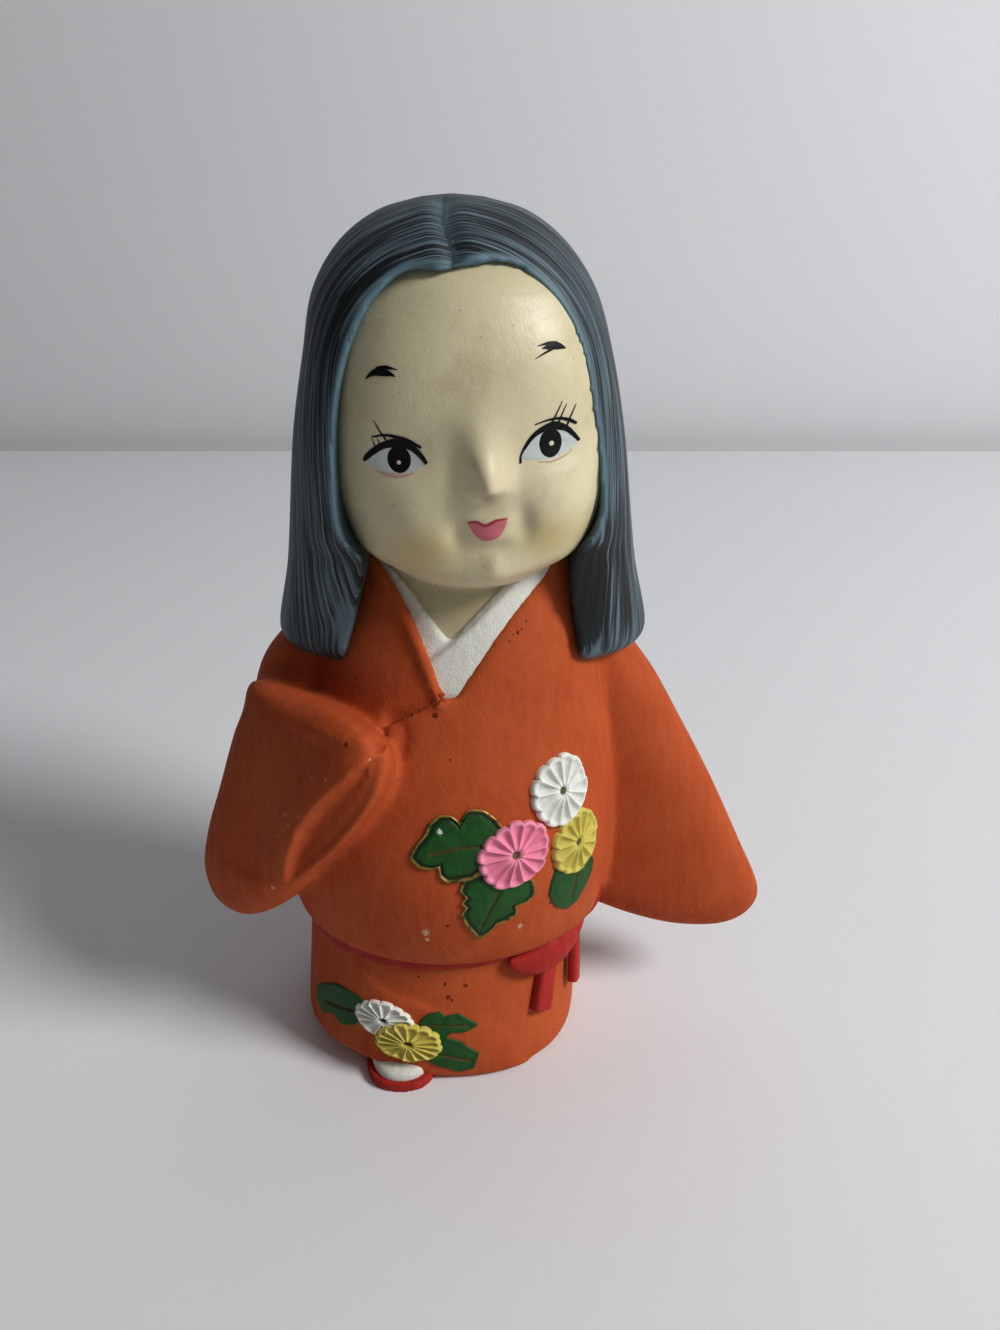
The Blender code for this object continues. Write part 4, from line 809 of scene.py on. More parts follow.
def facePush(x, z):
    u, w = faceCoords(x, z)
    form = headForm
    tip = w + 6.0
    upNose = (0.14 + 0.86 * bell(tip, form["noseLong"])) * (1 - ramp(9, 17, tip))
    high = np.where(tip < 0, bell(tip, 1.7), upNose)
    wide = form["noseWide"] + 0.13 * np.maximum(tip, 0)
    push = form["noseHigh"] * high * bell(u - 0.8 * bell(tip, 4.5), wide)
    for du, dw, wide, tall, lift in form["dabs"]:
        push = push + lift * dab(u, w, (du, dw), wide, tall)
    return push


def makeHead():
    form = headForm
    x, y = form["middle"]
    wide, front, back, square = form["halfWidth"], form["front"], form["back"], form["square"]
    top = form["topZ"]
    rings = [
        section(form["chinZ"], x, y - 9, form["chin"] * 0.35, 4, 6),
        section(form["chinZ"] + 1.2, x, y - 7, form["chin"], 11.2, 12),
        section((form["chinZ"] + form["jawZ"]) / 2, x, y - 3, (form["chin"] + form["jaw"]) / 2, 19,
                back * 0.8, 2.15),
        section(form["jawZ"], x, y, form["jaw"], front * 0.93, back, square),
        section(form["cheekZ"], x, y, wide * 0.95, front * 0.98, back, square),
        section(122, x, y, wide * 0.99, front, back, square),
        section(form["eyeZ"], x, y, wide, front, back, square),
        section(form["browZ"], x, y, wide * 0.95, front * 0.98, back, square),
        section((form["browZ"] + top + 4.5) / 2, x, y, wide * 0.87, front * 0.85, back * 0.8),
        section(top, x, y, wide * 0.69, front * 0.66, back * 0.6),
        section(top + 4.5, x, y, wide * 0.2, front * 0.24, back * 0.2)]
    head = loft("head", rings, 96, 2, (x, y, top + 5.1))
    neck = loft("neck", kimonoRings(2 * bodyForm["layerStep"], 5), 72)
    limit = [section(z, x, y, 60, 60, 60) for z in (90, 108)]
    for row in flowThrough(hairRings(hairForm["faceStep"]), 2):
        if row[0] > 112:  # the hair's own surface, looser round the cheeks
            row[3:6] += 3.5 * (1 - ramp(112, 128, row[0]))
            limit.append(tuple(row))
    combine(head, loft("underHair", limit, 110, 1000), "INTERSECT")  # the face stays just under the hair
    combine(head, neck, "UNION")
    combine(head, castingHollow(), "DIFFERENCE")
    soften(head, 0.53, 5)
    coords = coordsOf(head)
    facing = (coords[:, 1] < y - 4) & (coords[:, 2] > form["chinZ"] - 1)
    fade = ramp(-y + 4, -y + 10, -coords[:, 1]) * ramp(form["chinZ"] - 1, form["chinZ"] + 3, coords[:, 2])
    coords[:, 1] -= np.where(facing, fade * facePush(coords[:, 0], coords[:, 2]), 0)
    setCoords(head, coords)
    return head


hairForm = {
    "middle": (5.4, 2.0), "end": (35.8, 21.5), "chin": (33, 25), "eye": (29.7, 28), "brow": (27, 27.5),
    "back": 27.0, "square": 2.5, "endZ": 87.0, "crownZ": 165.7, "partingX": 3.7, "faceStep": 0.45,
    # face opening in (x, z): from the widow's peak down each side to the ends of the locks
    "windowRight": [(5.6, 154.0), (7.4, 154.9), (9.6, 155.5), (12.7, 155.6), (15.2, 154.9), (17.6, 153.5),
                    (20.1, 151.6), (22.2, 149.1), (24.1, 146.2), (25.5, 143.2), (26.6, 139.5), (27.6, 134.5),
                    (28.8, 128.2), (29.7, 121.5), (29.9, 115.5), (28.6, 111.8), (26.0, 109.0), (25.1, 104.5),
                    (25.3, 100.0), (25.9, 94.5), (27.2, 88.5), (28.2, 83.0)],
    "windowLeft": [(5.6, 154.0), (3.8, 154.2), (1.8, 154.6), (-0.6, 154.6), (-2.9, 153.7), (-5.1, 152.1),
                   (-7.1, 149.9), (-9.0, 147.0), (-10.8, 143.3), (-12.2, 139.2), (-13.3, 134.6),
                   (-14.2, 128.4), (-14.6, 121.0), (-14.4, 114.0), (-12.9, 110.6), (-11.2, 108.6),
                   (-11.1, 104.8), (-12.4, 100.0), (-13.7, 94.8), (-15.4, 89.5), (-17.4, 83.0)],
    "backEnd": 58.0, "backHalf": 23.0, "backDeep": 31.5,
    "partingDeep": 0.75, "partingWide": 1.6, "setBack": 2.6,
    # rubbed and thickly painted patches: spot, half width, half height, share
    "bare": [((-15.0, 94.0), 3.0, 7.0, 1.0), ((30.0, 87.5), 4.0, 2.6, 0.8)],
    "heavy": ((28.3, 100.5), 3.6, 11.5),
    "crownRound": 28.0, "crownFrom": 138.0,  # the strands run over a dome of this radius above this height
}


def hairRings(inset=0.0):
    form = hairForm
    x, y = form["middle"]
    back, square = form["back"], form["square"]
    browHalf, browFront = form["brow"]
    rings = [
        section(form["endZ"], x, y, form["end"][0] - 1.5, form["end"][1] - 1.5, back - 2.5, square),
        section(form["endZ"] + 2, x, y, *form["end"], back - 1, square),
        section(103.5, x, y, *form["chin"], back, square),
        section(128, x, y, *form["eye"], back, square),
        section(141, x, y, browHalf, browFront, back * 0.96, square),
        section(150.5, x - 0.5, y, browHalf * 0.91, browFront * 0.89, back * 0.87, 2.3),
        section(158, x - 0.8, y, browHalf * 0.73, browFront * 0.71, back * 0.68, 2.1),
        section(163, x - 0.8, y, browHalf * 0.48, browFront * 0.46, back * 0.44),
        section(165.2, x - 0.8, y, browHalf * 0.20, browFront * 0.20, back * 0.18)]
    return [(z, cx, cy, half - inset, front - inset, rear - inset, *rest)
            for z, cx, cy, half, front, rear, *rest in rings]


def windowOutline():
    form = hairForm
    right, left = flowThrough(form["windowRight"], 1.2), flowThrough(form["windowLeft"], 1.2)
    return [tuple(p) for p in right] + [tuple(p) for p in left[:0:-1]]


def fromWindow(x, z):  # distance from the outline of the face opening
    outline = windowOutline()
    return farFrom(np.stack([x, z], axis=1), outline + outline[:1])


def makeHair():
    form = hairForm
    x, y = form["middle"]
    hair = loft("hair", hairRings(), 110, 2, (x - 0.8, y, form["crownZ"]))
    combine(hair, prism("faceWindow", windowOutline(), -4), "DIFFERENCE")
    half, deep = form["backHalf"], form["backDeep"] - 8
    combine(hair, loft("backHair", [
        section(form["backEnd"], x, 5, half - 2.5, 6, deep - 3, 2.6),
        section(form["backEnd"] + 2.5, x, 5, half, 8, deep, 2.6),
        section(73, x, 5, half + 1.5, 8, deep, 2.5),
        section(92, x, 5, half + 4.5, 8, deep - 0.5, 2.4),
        section(110, x, 5, half, 8, deep - 3, 2.3)], 80), "UNION")
    combine(hair, castingHollow(), "DIFFERENCE")
    soften(hair, 0.62, 5)
    rubWithin(hair, lambda x, y, z: bell(fromWindow(x, z), 1.4) * (y < -6) * ramp(86, 90, z), 16)
    partHair(hair)
    return hair


def partHair(hair):  # parting groove over the crown, locks set back under the jaw, strands' own coordinates
    form = hairForm
    coords, normals = coordsOf(hair), normalsOf(hair)
    x, y, z = coords.T
    edge = fromWindow(x, z)
    middle = form["partingX"] + 2.0 * ramp(163.5, 155.5, z)
    side = np.abs(x - middle)
    onTop = ramp(150, 156, z) * ramp(-1, -7, y)
    dip = 0.2 * bell(side - 3.4, 2.0) - form["partingDeep"] * bell(side, form["partingWide"])
    coords += normals * (dip * onTop)[:, None]
    locks = bell(edge, 6.0) * ramp(112, 106, z) * ramp(-6, -12, y) * ramp(88, 96, z)
    coords[:, 1] += form["setBack"] * locks
    setCoords(hair, coords)
    side = np.abs(x - middle)  # again, as the groove has moved the crown's points
    radius, crown = form["crownRound"], form["crownFrom"]
    rise = np.maximum(z - crown, 0)
    reach = np.where(y < form["middle"][1], np.hypot(x - form["middle"][0], rise), side)
    across = radius * np.arctan2(y - form["middle"][1], np.maximum(reach, 0.1))
    down = np.where(z > crown, crown + radius * np.arctan2(rise, np.maximum(side, 0.1)), z)
    layer = hair.data.attributes.new("strand", "FLOAT_VECTOR", "POINT")
    flow = np.stack([across, down, np.sign(x - middle) * 40], axis=1)
    layer.data.foreach_set("vector", flow.astype(np.float32).ravel())
    paintMask(hair, "faceBand", (1 - ramp(0.8, 1.7, edge)) * (y < -6) * ramp(108, 114, z))
    paintMask(hair, "parting", bell(x - middle, 2.0) * onTop * (0.3 + 0.7 * ramp(157, 163, z)))
    front = (y < -4) & (z < 113)
    bare = sum(share * dab(x, z, spot, wide, tall) for spot, wide, tall, share in form["bare"])
    paintMask(hair, "barePatch", bare * front)
    paintMask(hair, "heavyPatch", dab(x, z, *form["heavy"], power=4) * front)


skirt = makeSkirt()
sash = makeSash()
print("skirt and sash formed", len(skirt.data.polygons), len(sash.data.polygons))
kimonoTop = makeKimonoTop()
underCollar = makeUnderCollar()
print("kimono top formed", len(kimonoTop.data.polygons), len(underCollar.data.polygons))
head = makeHead()
hair = makeHair()
print("head and hair formed", len(head.data.polygons), len(hair.data.polygons))


# Raised flowers and leaves that follow the surface under them

def softRadius(outline, count):  # radius at even angles from an outline of (degrees, radius)
    degrees = np.array([a for a, _ in outline], float)
    radii = np.array([r for _, r in outline], float)
    wanted = np.arange(count) * 360 / count
    return np.interp(wanted, np.concatenate((degrees - 360, degrees, degrees + 360)),
                     np.concatenate((radii, radii, radii)))


def reliefOn(name, tree, place, radii, height, lean, stretch, rings, sink):
    # pad round place (x, z); radii by angle, height by angle and share of the radius
    spot, normal = fromFront(tree, *place)
    side = Vector((0, 0, 1)).cross(normal).normalized()
    up = normal.cross(side)
    count = len(radii)
    bm = bmesh.new()
    shares = np.concatenate((np.linspace(0, 1, rings), [1.0]))
    lean = math.radians(lean)
    loops, values = [], []
    for level, share in enumerate(shares):
        loop = []
        for k in range(count if level else 1):
            angle = 2 * math.pi * k / count
            reach = radii[k] * share
            a, b = reach * math.cos(angle), reach * math.sin(angle) * stretch
            a, b = a * math.cos(lean) - b * math.sin(lean), a * math.sin(lean) + b * math.cos(lean)
            start = spot + side * a + up * b
            hit = tree.ray_cast((start + normal * 12) * mm, -normal)[0]
            ground = hit / mm if hit else start
            lift = -sink if level == len(shares) - 1 else height(angle, share)
            loop.append(bm.verts.new((ground + normal * lift) * mm))
            values.append((angle, share))
        loops.append(loop)
    for k in range(count):
        bm.faces.new((loops[0][0], loops[1][k], loops[1][(k + 1) % count]))
    for lower, upper in zip(loops[1:], loops[2:]):
        bridge(bm, lower, upper, inward=True)
    obj = newObject(name, bm)
    angles, shares = np.array(values).T
    paintMask(obj, "reliefShare", shares)
    paintMask(obj, "reliefAngle", angles)
    return obj


flowerForm = {
    "proud": 1.15, "sink": 0.8, "hollow": 0.62, "ridge": 0.30, "ridgeHigh": 0.32, "boss": 0.13,
    "white": {"place": (23.9, 64.6), "radius": 6.9, "stretch": 0.9, "lean": 62, "petals": 13},
    "pink": {"place": (15.4, 55.0), "radius": 7.4, "stretch": 0.82, "lean": 26, "petals": 14},
    "yellow": {"place": (27.0, 53.4), "radius": 6.4, "stretch": 0.88, "lean": 60, "petals": 13},
    "hemWhite": {"place": (-10.6, 14.4), "radius": 6.4, "stretch": 0.6, "lean": -8, "petals": 14,
                 "proud": 0.95},
    "hemYellow": {"place": (-5.7, 10.2), "radius": 6.9, "stretch": 0.6, "lean": -6, "petals": 15,
                  "proud": 1.6},
}


def makeFlower(name, tree, rng):
    look = {**flowerForm, **flowerForm[name]}
    petals, perPetal, rings = look["petals"], 16, 18
    count = petals * perPetal
    jitter = 1 + rng.uniform(-0.05, 0.05, petals)
    phase = (np.arange(count) % perPetal) / perPetal * 2 - 1  # -1 and 1 at a petal's sides
    petal = np.arange(count) // perPetal
    radii = look["radius"] * (0.91 + 0.09 * np.sqrt(np.maximum(1 - phase ** 2, 0))) * jitter[petal]

    def height(angle, share):
        k = int(round(angle / (2 * math.pi) * count)) % count
        across = abs(phase[k])
        ridge = bell(1 - across, look["ridge"]) * min(1, share * 3)
        scoop = ramp(0.22, 0.62, np.float64(share)) * (1 - ramp(0.80, 0.95, np.float64(share)))
        dish = look["hollow"] * scoop * (1 - across ** 2.2)
        rim = 0.10 * bell(share - 0.94, 0.05)
        edge = look["proud"] * (1 - 0.35 * max(0, (share - 0.94) / 0.06) ** 2)
        boss = 0.12 * bell(share - 0.22, 0.08) - 0.5 * bell(share, look["boss"], 4)
        return float(edge - dish + look["ridgeHigh"] * ridge * (1 - 0.6 * (share > 0.97)) + rim + boss)

    obj = reliefOn(name + "Flower", tree, look["place"], radii, height, look["lean"], look["stretch"],
                   rings, look["sink"])
    across = np.concatenate(([1], np.tile(np.abs(phase), rings)))
    shares = maskOf(obj, "reliefShare")
    # the petal hollows are painted darker: paint worn thin there, with painted shade in the dish
    low = (1 - ramp(0.45, 0.85, across)) * ramp(0.2, 0.42, shares) * (1 - ramp(0.84, 0.94, shares))
    low = low * (0.45 if name.startswith("hem") else 1.0)  # painted flatter at the hem
    paintMask(obj, "petalHollowWearAndShade", low)
    return obj


leafForm = {
    "proud": 0.35, "sink": 0.6, "rimHigh": 0.2, "trench": 0.45, "vein": 0.55,
    # outline in (x, z) on the front, then the run of the midrib
    "left": {"outline": [(-3.9, 55.2), (-2.6, 57.6), (-0.9, 59.7), (-0.1, 61.7), (1.6, 63.2), (3.6, 63.2),
                         (5.0, 62.3), (5.7, 61.2), (5.9, 63.4), (7.3, 64.2), (9.8, 63.8), (11.8, 62.2),
                         (14.0, 59.3), (14.0, 54.6), (10.6, 53.1), (8.9, 52.4), (7.5, 51.4), (5.9, 51.2),
                         (4.4, 51.0), (3.0, 50.9), (1.8, 51.9), (1.5, 53.9), (0.0, 53.3), (-2.3, 53.6)],
             "middle": (4.8, 57.6), "rib": [(9.6, 57.3), (5.2, 57.2), (0.2, 56.0)], "gilt": 1.0},
    "low": {"outline": [(8.7, 37.6), (6.3, 41.6), (5.4, 44.2), (6.4, 45.6), (5.4, 46.6), (6.5, 48.0),
                        (5.2, 49.2), (5.9, 51.2), (9.0, 52.4), (14.4, 51.8), (18.9, 48.9), (19.3, 46.4),
                        (17.9, 44.5), (15.7, 44.5), (15.8, 42.3), (13.8, 41.2), (11.8, 40.7), (10.6, 39.0)],
            "middle": (11.6, 45.6), "rib": [(12.8, 48.6), (10.9, 44.8), (9.2, 40.8)], "gilt": 0.9},
    "side": {"outline": [(25.6, 38.5), (24.6, 39.4), (23.4, 40.6), (22.6, 42.4), (21.9, 44.4), (22.4, 47.4),
                         (23.4, 50.0), (28.7, 50.0), (30.9, 46.8), (30.6, 44.1), (29.2, 41.2), (27.6, 39.0)],
             "middle": (26.6, 44.6), "rib": [(27.5, 47.5), (26.6, 40.5)], "gilt": 0.0},
    "hemLeft": {"outline": [(-26.4, 11.0), (-25.6, 14.0), (-23.6, 16.2), (-20.6, 18.2), (-17.6, 18.2),
                            (-14.0, 17.0), (-14.6, 13.2), (-17.2, 11.0), (-20.0, 9.9), (-21.8, 11.0),
                            (-24.4, 9.2)],
                "middle": (-19.8, 13.8), "rib": [(-15.0, 14.8), (-23.5, 12.6)], "gilt": 0.0},
    "hemHigh": {"outline": [(-3.6, 14.4), (-1.8, 16.3), (0.6, 16.6), (1.7, 15.7), (4.4, 15.9), (8.4, 13.2),
                            (5.3, 12.0), (3.0, 12.3), (1.6, 10.7), (-0.4, 10.6), (-2.0, 11.8)],
                "middle": (1.4, 13.6), "rib": [(-2.0, 13.8), (6.5, 13.3)], "gilt": 0.0},
    "hemLow": {"outline": [(-2.4, 8.4), (-0.6, 10.0), (1.9, 10.8), (4.9, 9.9), (6.2, 8.4), (8.5, 6.9),
                           (7.4, 3.2), (4.2, 2.7), (2.4, 3.6), (0.2, 4.2), (-1.8, 5.4)],
               "middle": (2.6, 6.9), "rib": [(-1.5, 7.4), (6.8, 5.2)], "gilt": 0.0},
}


def makeLeaf(name, tree):
    look, count = {**leafForm, **leafForm[name]}, 180
    cx, cz = look["middle"]
    spot, normal = fromFront(tree, cx, cz)
    side = Vector((0, 0, 1)).cross(normal).normalized()
    up = normal.cross(side)

    def flat(x, z):  # front-view point in the leaf's own plane
        hit, _ = fromFront(tree, x, z)
        away = (hit - spot) if hit else Vector((x - cx, 0, z - cz))
        return away.dot(side), away.dot(up)

    spots = np.array([flat(x, z) for x, z in look["outline"]])
    ring = np.vstack((spots, spots[:1]))
    fine = np.vstack([a + (b - a) * t for a, b in zip(ring, ring[1:]) for t in (0, 0.25, 0.5, 0.75)])
    outline = sorted((math.degrees(math.atan2(b, a)) % 360, math.hypot(a, b)) for a, b in fine)
    radii = softRadius(outline, count)
    radii = (np.roll(radii, 1) + 2 * radii + np.roll(radii, -1)) / 4
    rib = np.array([flat(x, z) for x, z in look["rib"]])

    def height(angle, share):
        k = int(round(angle / (2 * math.pi) * count)) % count
        reach = radii[k] * share
        point = np.array([[reach * math.cos(angle), reach * math.sin(angle)]])
        inward = radii[k] * (1 - share)
        gutter = look["trench"] * bell(inward - 0.75, 0.4) * look["gilt"]
        rim = look["rimHigh"] * bell(inward, 0.35) * look["gilt"]
        vein = look["vein"] * bell(farFrom(point, rib)[0], 0.35)
        return look["proud"] - gutter * 0.7 + rim - vein * 0.6

    obj = reliefOn(name + "Leaf", tree, (cx, cz), radii, height, 0, 1, 26, look["sink"])
    shares, angles = maskOf(obj, "reliefShare"), maskOf(obj, "reliefAngle")
    reach = radii[(np.round(angles / (2 * math.pi) * count).astype(int)) % count]
    inward = reach * (1 - shares)
    points = np.stack([reach * shares * np.cos(angles), reach * shares * np.sin(angles)], axis=1)
    paintMask(obj, "giltEdge", look["gilt"] * (1 - ramp(0.18, 0.42, inward)))
    paintMask(obj, "shadowLine", bell(inward - 0.75, 0.45) * min(1, look["gilt"] + 0.15))
    paintMask(obj, "ribLine", bell(farFrom(points, rib), 0.32))
    return obj


rng = np.random.default_rng(14)
kimonoTree, skirtTree, headTree = treeOf(kimonoTop), treeOf(skirt), treeOf(head)
flowers = {name: makeFlower(name, kimonoTree, rng) for name in ("white", "pink", "yellow")}
flowers.update({name: makeFlower(name, skirtTree, rng) for name in ("hemWhite", "hemYellow")})
leaves = {name: makeLeaf(name, kimonoTree) for name in ("left", "low", "side")}
leaves.update({name: makeLeaf(name, skirtTree) for name in ("hemLeft", "hemHigh", "hemLow")})
print("flowers and leaves raised", sum(len(o.data.polygons) for o in [*flowers.values(), *leaves.values()]))


bowForm = {
    # (x, z) on the skirt, half width
    "loop": [(13.6, 27.0, 0.8), (15.8, 26.0, 2.2), (19.0, 25.4, 3.6), (22.6, 26.2, 4.3), (25.8, 27.6, 3.9),
             (27.0, 28.2, 3.2)],
    "farLoop": [(26.8, 27.4, 3.4), (28.2, 29.8, 4.4), (29.4, 33.0, 4.6), (30.2, 36.0, 3.6)],
    "tail": [(22.6, 25.0, 2.4), (21.6, 20.0, 2.4), (21.0, 15.5, 2.45), (20.6, 12.4, 2.5)],
    "farTail": [(27.6, 26.0, 1.8), (27.9, 21.0, 1.8), (27.9, 15.5, 1.8), (27.8, 12.4, 1.8)],
    "sideX": 26.6, "plump": 0.74, "tailThick": 0.62,
}


def makeBow():
    def strip(name, rows, flat, lift, square):
        rows = flowThrough([(x, 0, z, half) for x, z, half in rows], 1.2)
        spots, normals = [], []
        for x, _, z, _ in rows:
            spot, normal = fromFront(skirtTree, min(x, form["sideX"]), min(z, 33))
            spot.x, spot.z = x, z
            normal = Vector((normal.x, normal.y, 0)).normalized()
            spots.append(spot + normal * lift)
            normals.append(normal)
        return tube(name, spots, [float(r[3]) for r in rows], flat, normals, 24, square)

    form = bowForm
    bow = strip("bow", form["loop"], form["plump"], 1.8, 2.3)
    combine(bow, strip("farLoop", form["farLoop"], form["plump"], 1.6, 2.3), "UNION")
    combine(bow, strip("tail", form["tail"], form["tailThick"], 0.7, 4.0), "UNION")
    combine(bow, strip("farTail", form["farTail"], form["tailThick"], 0.7, 4.0), "UNION")
    return soften(bow, 0.32, 5)


footForm = {
    "middle": (-7.5, -23.3), "half": 7.75, "reach": 11.0, "sole": 2.0, "sock": 5.2, "square": 2.6,
}


def makeSole():
    form = footForm
    x, y = form["middle"]
    half, reach = form["half"], form["reach"]
    sole = loft("sandalSole", [section(z, x, y, half, reach, reach, form["square"])
                               for z in (0, form["sole"] * 0.5, form["sole"])], 72, 1)
    return soften(sole, 0.32, 5)


def makeSock():
    form = footForm
    x, y = form["middle"]
    half, reach = form["half"] - 1.1, form["reach"] - 1.1
    sock = loft("sock", [section(form["sole"] * 0.5, x, y, half, reach, reach, 2.3),
                         section(form["sole"] + 1.3, x, y, half, reach, reach, 2.3),
                         section(form["sock"], x, y + 1.5, half * 0.6, reach * 0.7, reach * 0.7)], 72, 1)
    return soften(sock, 0.32, 5)


bow, sole, sock = makeBow(), makeSole(), makeSock()
print("bow and foot formed", len(bow.data.polygons))


# Paint laid on the face: thin skins inside brushed outlines

faceForm = {
    "leftWhite": [(-9.2, 125.9), (-8.1, 127.1), (-6.4, 128.1), (-3.7, 128.7), (-1.2, 128.2), (0.1, 127.1),
                  (0.9, 126.1), (-0.5, 125.1), (-2.2, 124.4), (-4.0, 124.1), (-6.2, 124.3), (-7.9, 125.0)],
    "rightWhite": [(16.2, 126.6), (16.4, 127.9), (17.5, 129.4), (19.1, 130.8), (21.0, 131.4), (23.2, 130.7),
                   (24.6, 129.6), (25.5, 128.8), (24.6, 127.8), (23.3, 127.1), (21.3, 126.4), (19.2, 126.3),
                   (17.4, 126.4)],
    "leftIris": (-3.5, 126.4, 1.95, 2.15), "rightIris": (20.8, 128.8, 1.85, 2.3),
    # painted highlights: a pale dot on each iris
    "leftLight": (-3.55, 125.9, 0.34), "rightLight": (20.95, 128.7, 0.40),
    # strokes are (x, z, half width)
    "lids": [
        [(-9.5, 125.7, 0.2), (-9.0, 126.3, 0.42), (-8.0, 127.2, 0.5), (-6.0, 128.5, 0.55),
         (-3.6, 129.0, 0.75), (-1.4, 128.4, 0.55), (0.1, 127.1, 0.42), (1.0, 125.9, 0.3)],
        [(16.0, 125.9, 0.2), (16.0, 127.0, 0.13), (16.9, 128.7, 0.26), (18.0, 130.1, 0.36),
         (19.6, 131.1, 0.5), (21.4, 131.5, 0.7), (23.3, 130.9, 0.48), (24.6, 129.8, 0.36),
         (25.6, 128.7, 0.26)]],
    "creases": [
        [(-7.9, 129.7, 0.1), (-5.7, 130.2, 0.2), (-3.8, 130.0, 0.28), (-1.8, 129.4, 0.34), (0.2, 128.4, 0.2)],
        [(18.2, 131.9, 0.08), (20.4, 132.5, 0.15), (22.3, 132.6, 0.22), (24.0, 132.1, 0.28),
         (25.1, 131.5, 0.2)]],
    "lashes": [
        [(-7.4, 132.4, 0.05), (-6.2, 130.4, 0.13), (-5.0, 128.8, 0.18)],
        [(-7.9, 129.5, 0.05), (-7.2, 127.8, 0.13)], [(-7.0, 129.7, 0.05), (-6.4, 128.1, 0.13)],
        [(22.6, 135.3, 0.05), (21.6, 133.2, 0.10), (20.6, 131.3, 0.15)],
        [(23.3, 134.8, 0.05), (22.5, 133.0, 0.10), (21.8, 131.2, 0.15)],
        [(24.9, 134.6, 0.05), (24.1, 132.9, 0.10), (23.4, 131.1, 0.15)]],
    "brows": [
        [(-8.4, 138.7, 0.06), (-7.4, 139.5, 0.36), (-6.2, 139.9, 0.62), (-5.0, 139.8, 0.52),
         (-4.1, 139.6, 0.26), (-3.5, 139.3, 0.05)],
        [(-6.6, 140.3, 0.26), (-5.2, 140.6, 0.3), (-4.0, 140.5, 0.16), (-3.1, 140.3, 0.04)],
        [(23.0, 143.1, 0.06), (22.2, 143.4, 0.38), (21.2, 143.6, 0.56), (20.2, 143.5, 0.36),
         (19.2, 143.3, 0.05)],
        [(21.6, 144.0, 0.2), (20.2, 144.0, 0.22), (18.5, 143.7, 0.04)],
        [(20.9, 143.2, 0.24), (19.6, 142.6, 0.14), (18.1, 141.8, 0.04)]],
    "lowLids": [
        [(-7.4, 124.3, 0.05), (-5.4, 123.8, 0.17), (-3.0, 123.8, 0.2), (-1.1, 124.4, 0.05)],
        [(18.8, 126.0, 0.05), (21.0, 125.9, 0.15), (23.0, 126.5, 0.15), (24.4, 127.2, 0.05)]],
    "lips": [(7.5, 116.3), (8.8, 116.5), (10.3, 116.1), (12.0, 116.7), (13.8, 116.9), (13.6, 115.6),
             (13.0, 114.4), (12.0, 113.5), (10.7, 113.1), (9.5, 113.4), (8.6, 114.2), (7.9, 115.3)],
    "lipLine": [(7.4, 116.3, 0.08), (8.8, 116.5, 0.22), (10.3, 115.9, 0.26), (12.0, 116.65, 0.24),
                (13.9, 117.0, 0.08)],
}


def strokeOutline(rows):  # outline of a tapered stroke in the front view
    rows = flowThrough([(x, z, half) for x, z, half in rows], 0.22)
    run = np.gradient(rows[:, :2], axis=0)
    run /= np.linalg.norm(run, axis=1)[:, None]
    side = np.stack([-run[:, 1], run[:, 0]], axis=1) * np.maximum(rows[:, 2:], 0.03)
    return [*map(tuple, rows[:, :2] + side), *map(tuple, (rows[:, :2] - side)[::-1])]


def ovalOutline(x, z, wide, tall=None, steps=36):
    tall = tall or wide
    return [(x + wide * math.cos(a), z + tall * math.sin(a))
            for a in (2 * math.pi * k / steps for k in range(steps))]


def smoothOutline(points, step=0.25):
    rows = flowThrough([*points, points[0], points[1]], step)
    ends = np.linalg.norm(rows - np.array(points[1]), axis=1)
    first = int(np.argmin(ends[:len(rows) // 2]))
    return [tuple(p) for p in rows[first:-1]]


def paintedSkin(name, tree, outlines, lift, cell):
    bm = bmesh.new()
    for outline in outlines:
        spots = [Vector(p) for p in outline]
        low = np.min(outline, axis=0) + cell / 2
        high = np.max(outline, axis=0)
        steps = [np.arange(a, b, cell) for a, b in zip(low, high)]
        grid = np.stack(np.meshgrid(*steps), -1).reshape(-1, 2)
        loop = np.array([*outline, outline[0]])
        if len(grid):
            keep = insideOf(grid, list(outline)) & (farFrom(grid, loop) > cell * 0.45)
            spots += [Vector(p) for p in grid[keep]]
        verts, _, faces, *_ = delaunay_2d_cdt(spots, [], [list(range(len(outline)))], 1, 1e-6)
        rim = farFrom(np.array([tuple(v) for v in verts]), loop) < 1e-3
        made = []
        for vert, onRim in zip(verts, rim):
            spot, normal = fromFront(tree, *vert)
            proud = lift - (0.04 if onRim else 0)
            made.append(bm.verts.new((spot + normal * proud) * mm) if spot else None)
        for face in faces:
            if all(made[i] for i in face):
                bm.faces.new([made[i] for i in face])
    for face in bm.faces:
        face.normal_update()
        if face.normal.y > 0:
            face.normal_flip()
    return newObject(name, bm, turnOut=False)


def strokes(*keys):
    return [strokeOutline(row) for key in keys for row in faceForm[key]]


faceSkins = {name: paintedSkin(name, headTree, outlines, lift, cell) for name, outlines, lift, cell in (
    ("eyeWhites", [smoothOutline(faceForm[key]) for key in ("leftWhite", "rightWhite")], 0.07, 0.4),
    ("irises", [ovalOutline(*faceForm[key]) for key in ("leftIris", "rightIris")], 0.11, 0.4),
    ("lidStrokes", strokes("lids", "creases", "lashes", "brows"), 0.15, 0.3),
    ("eyeLights", [ovalOutline(*faceForm[key], steps=16) for key in ("leftLight", "rightLight")], 0.18, 0.2),
    ("lowLids", strokes("lowLids"), 0.1, 0.3),
    ("lips", [smoothOutline(faceForm["lips"])], 0.1, 0.3),
    ("lipLine", [strokeOutline(faceForm["lipLine"])], 0.14, 0.3))}
print("face painted")


# Finishes

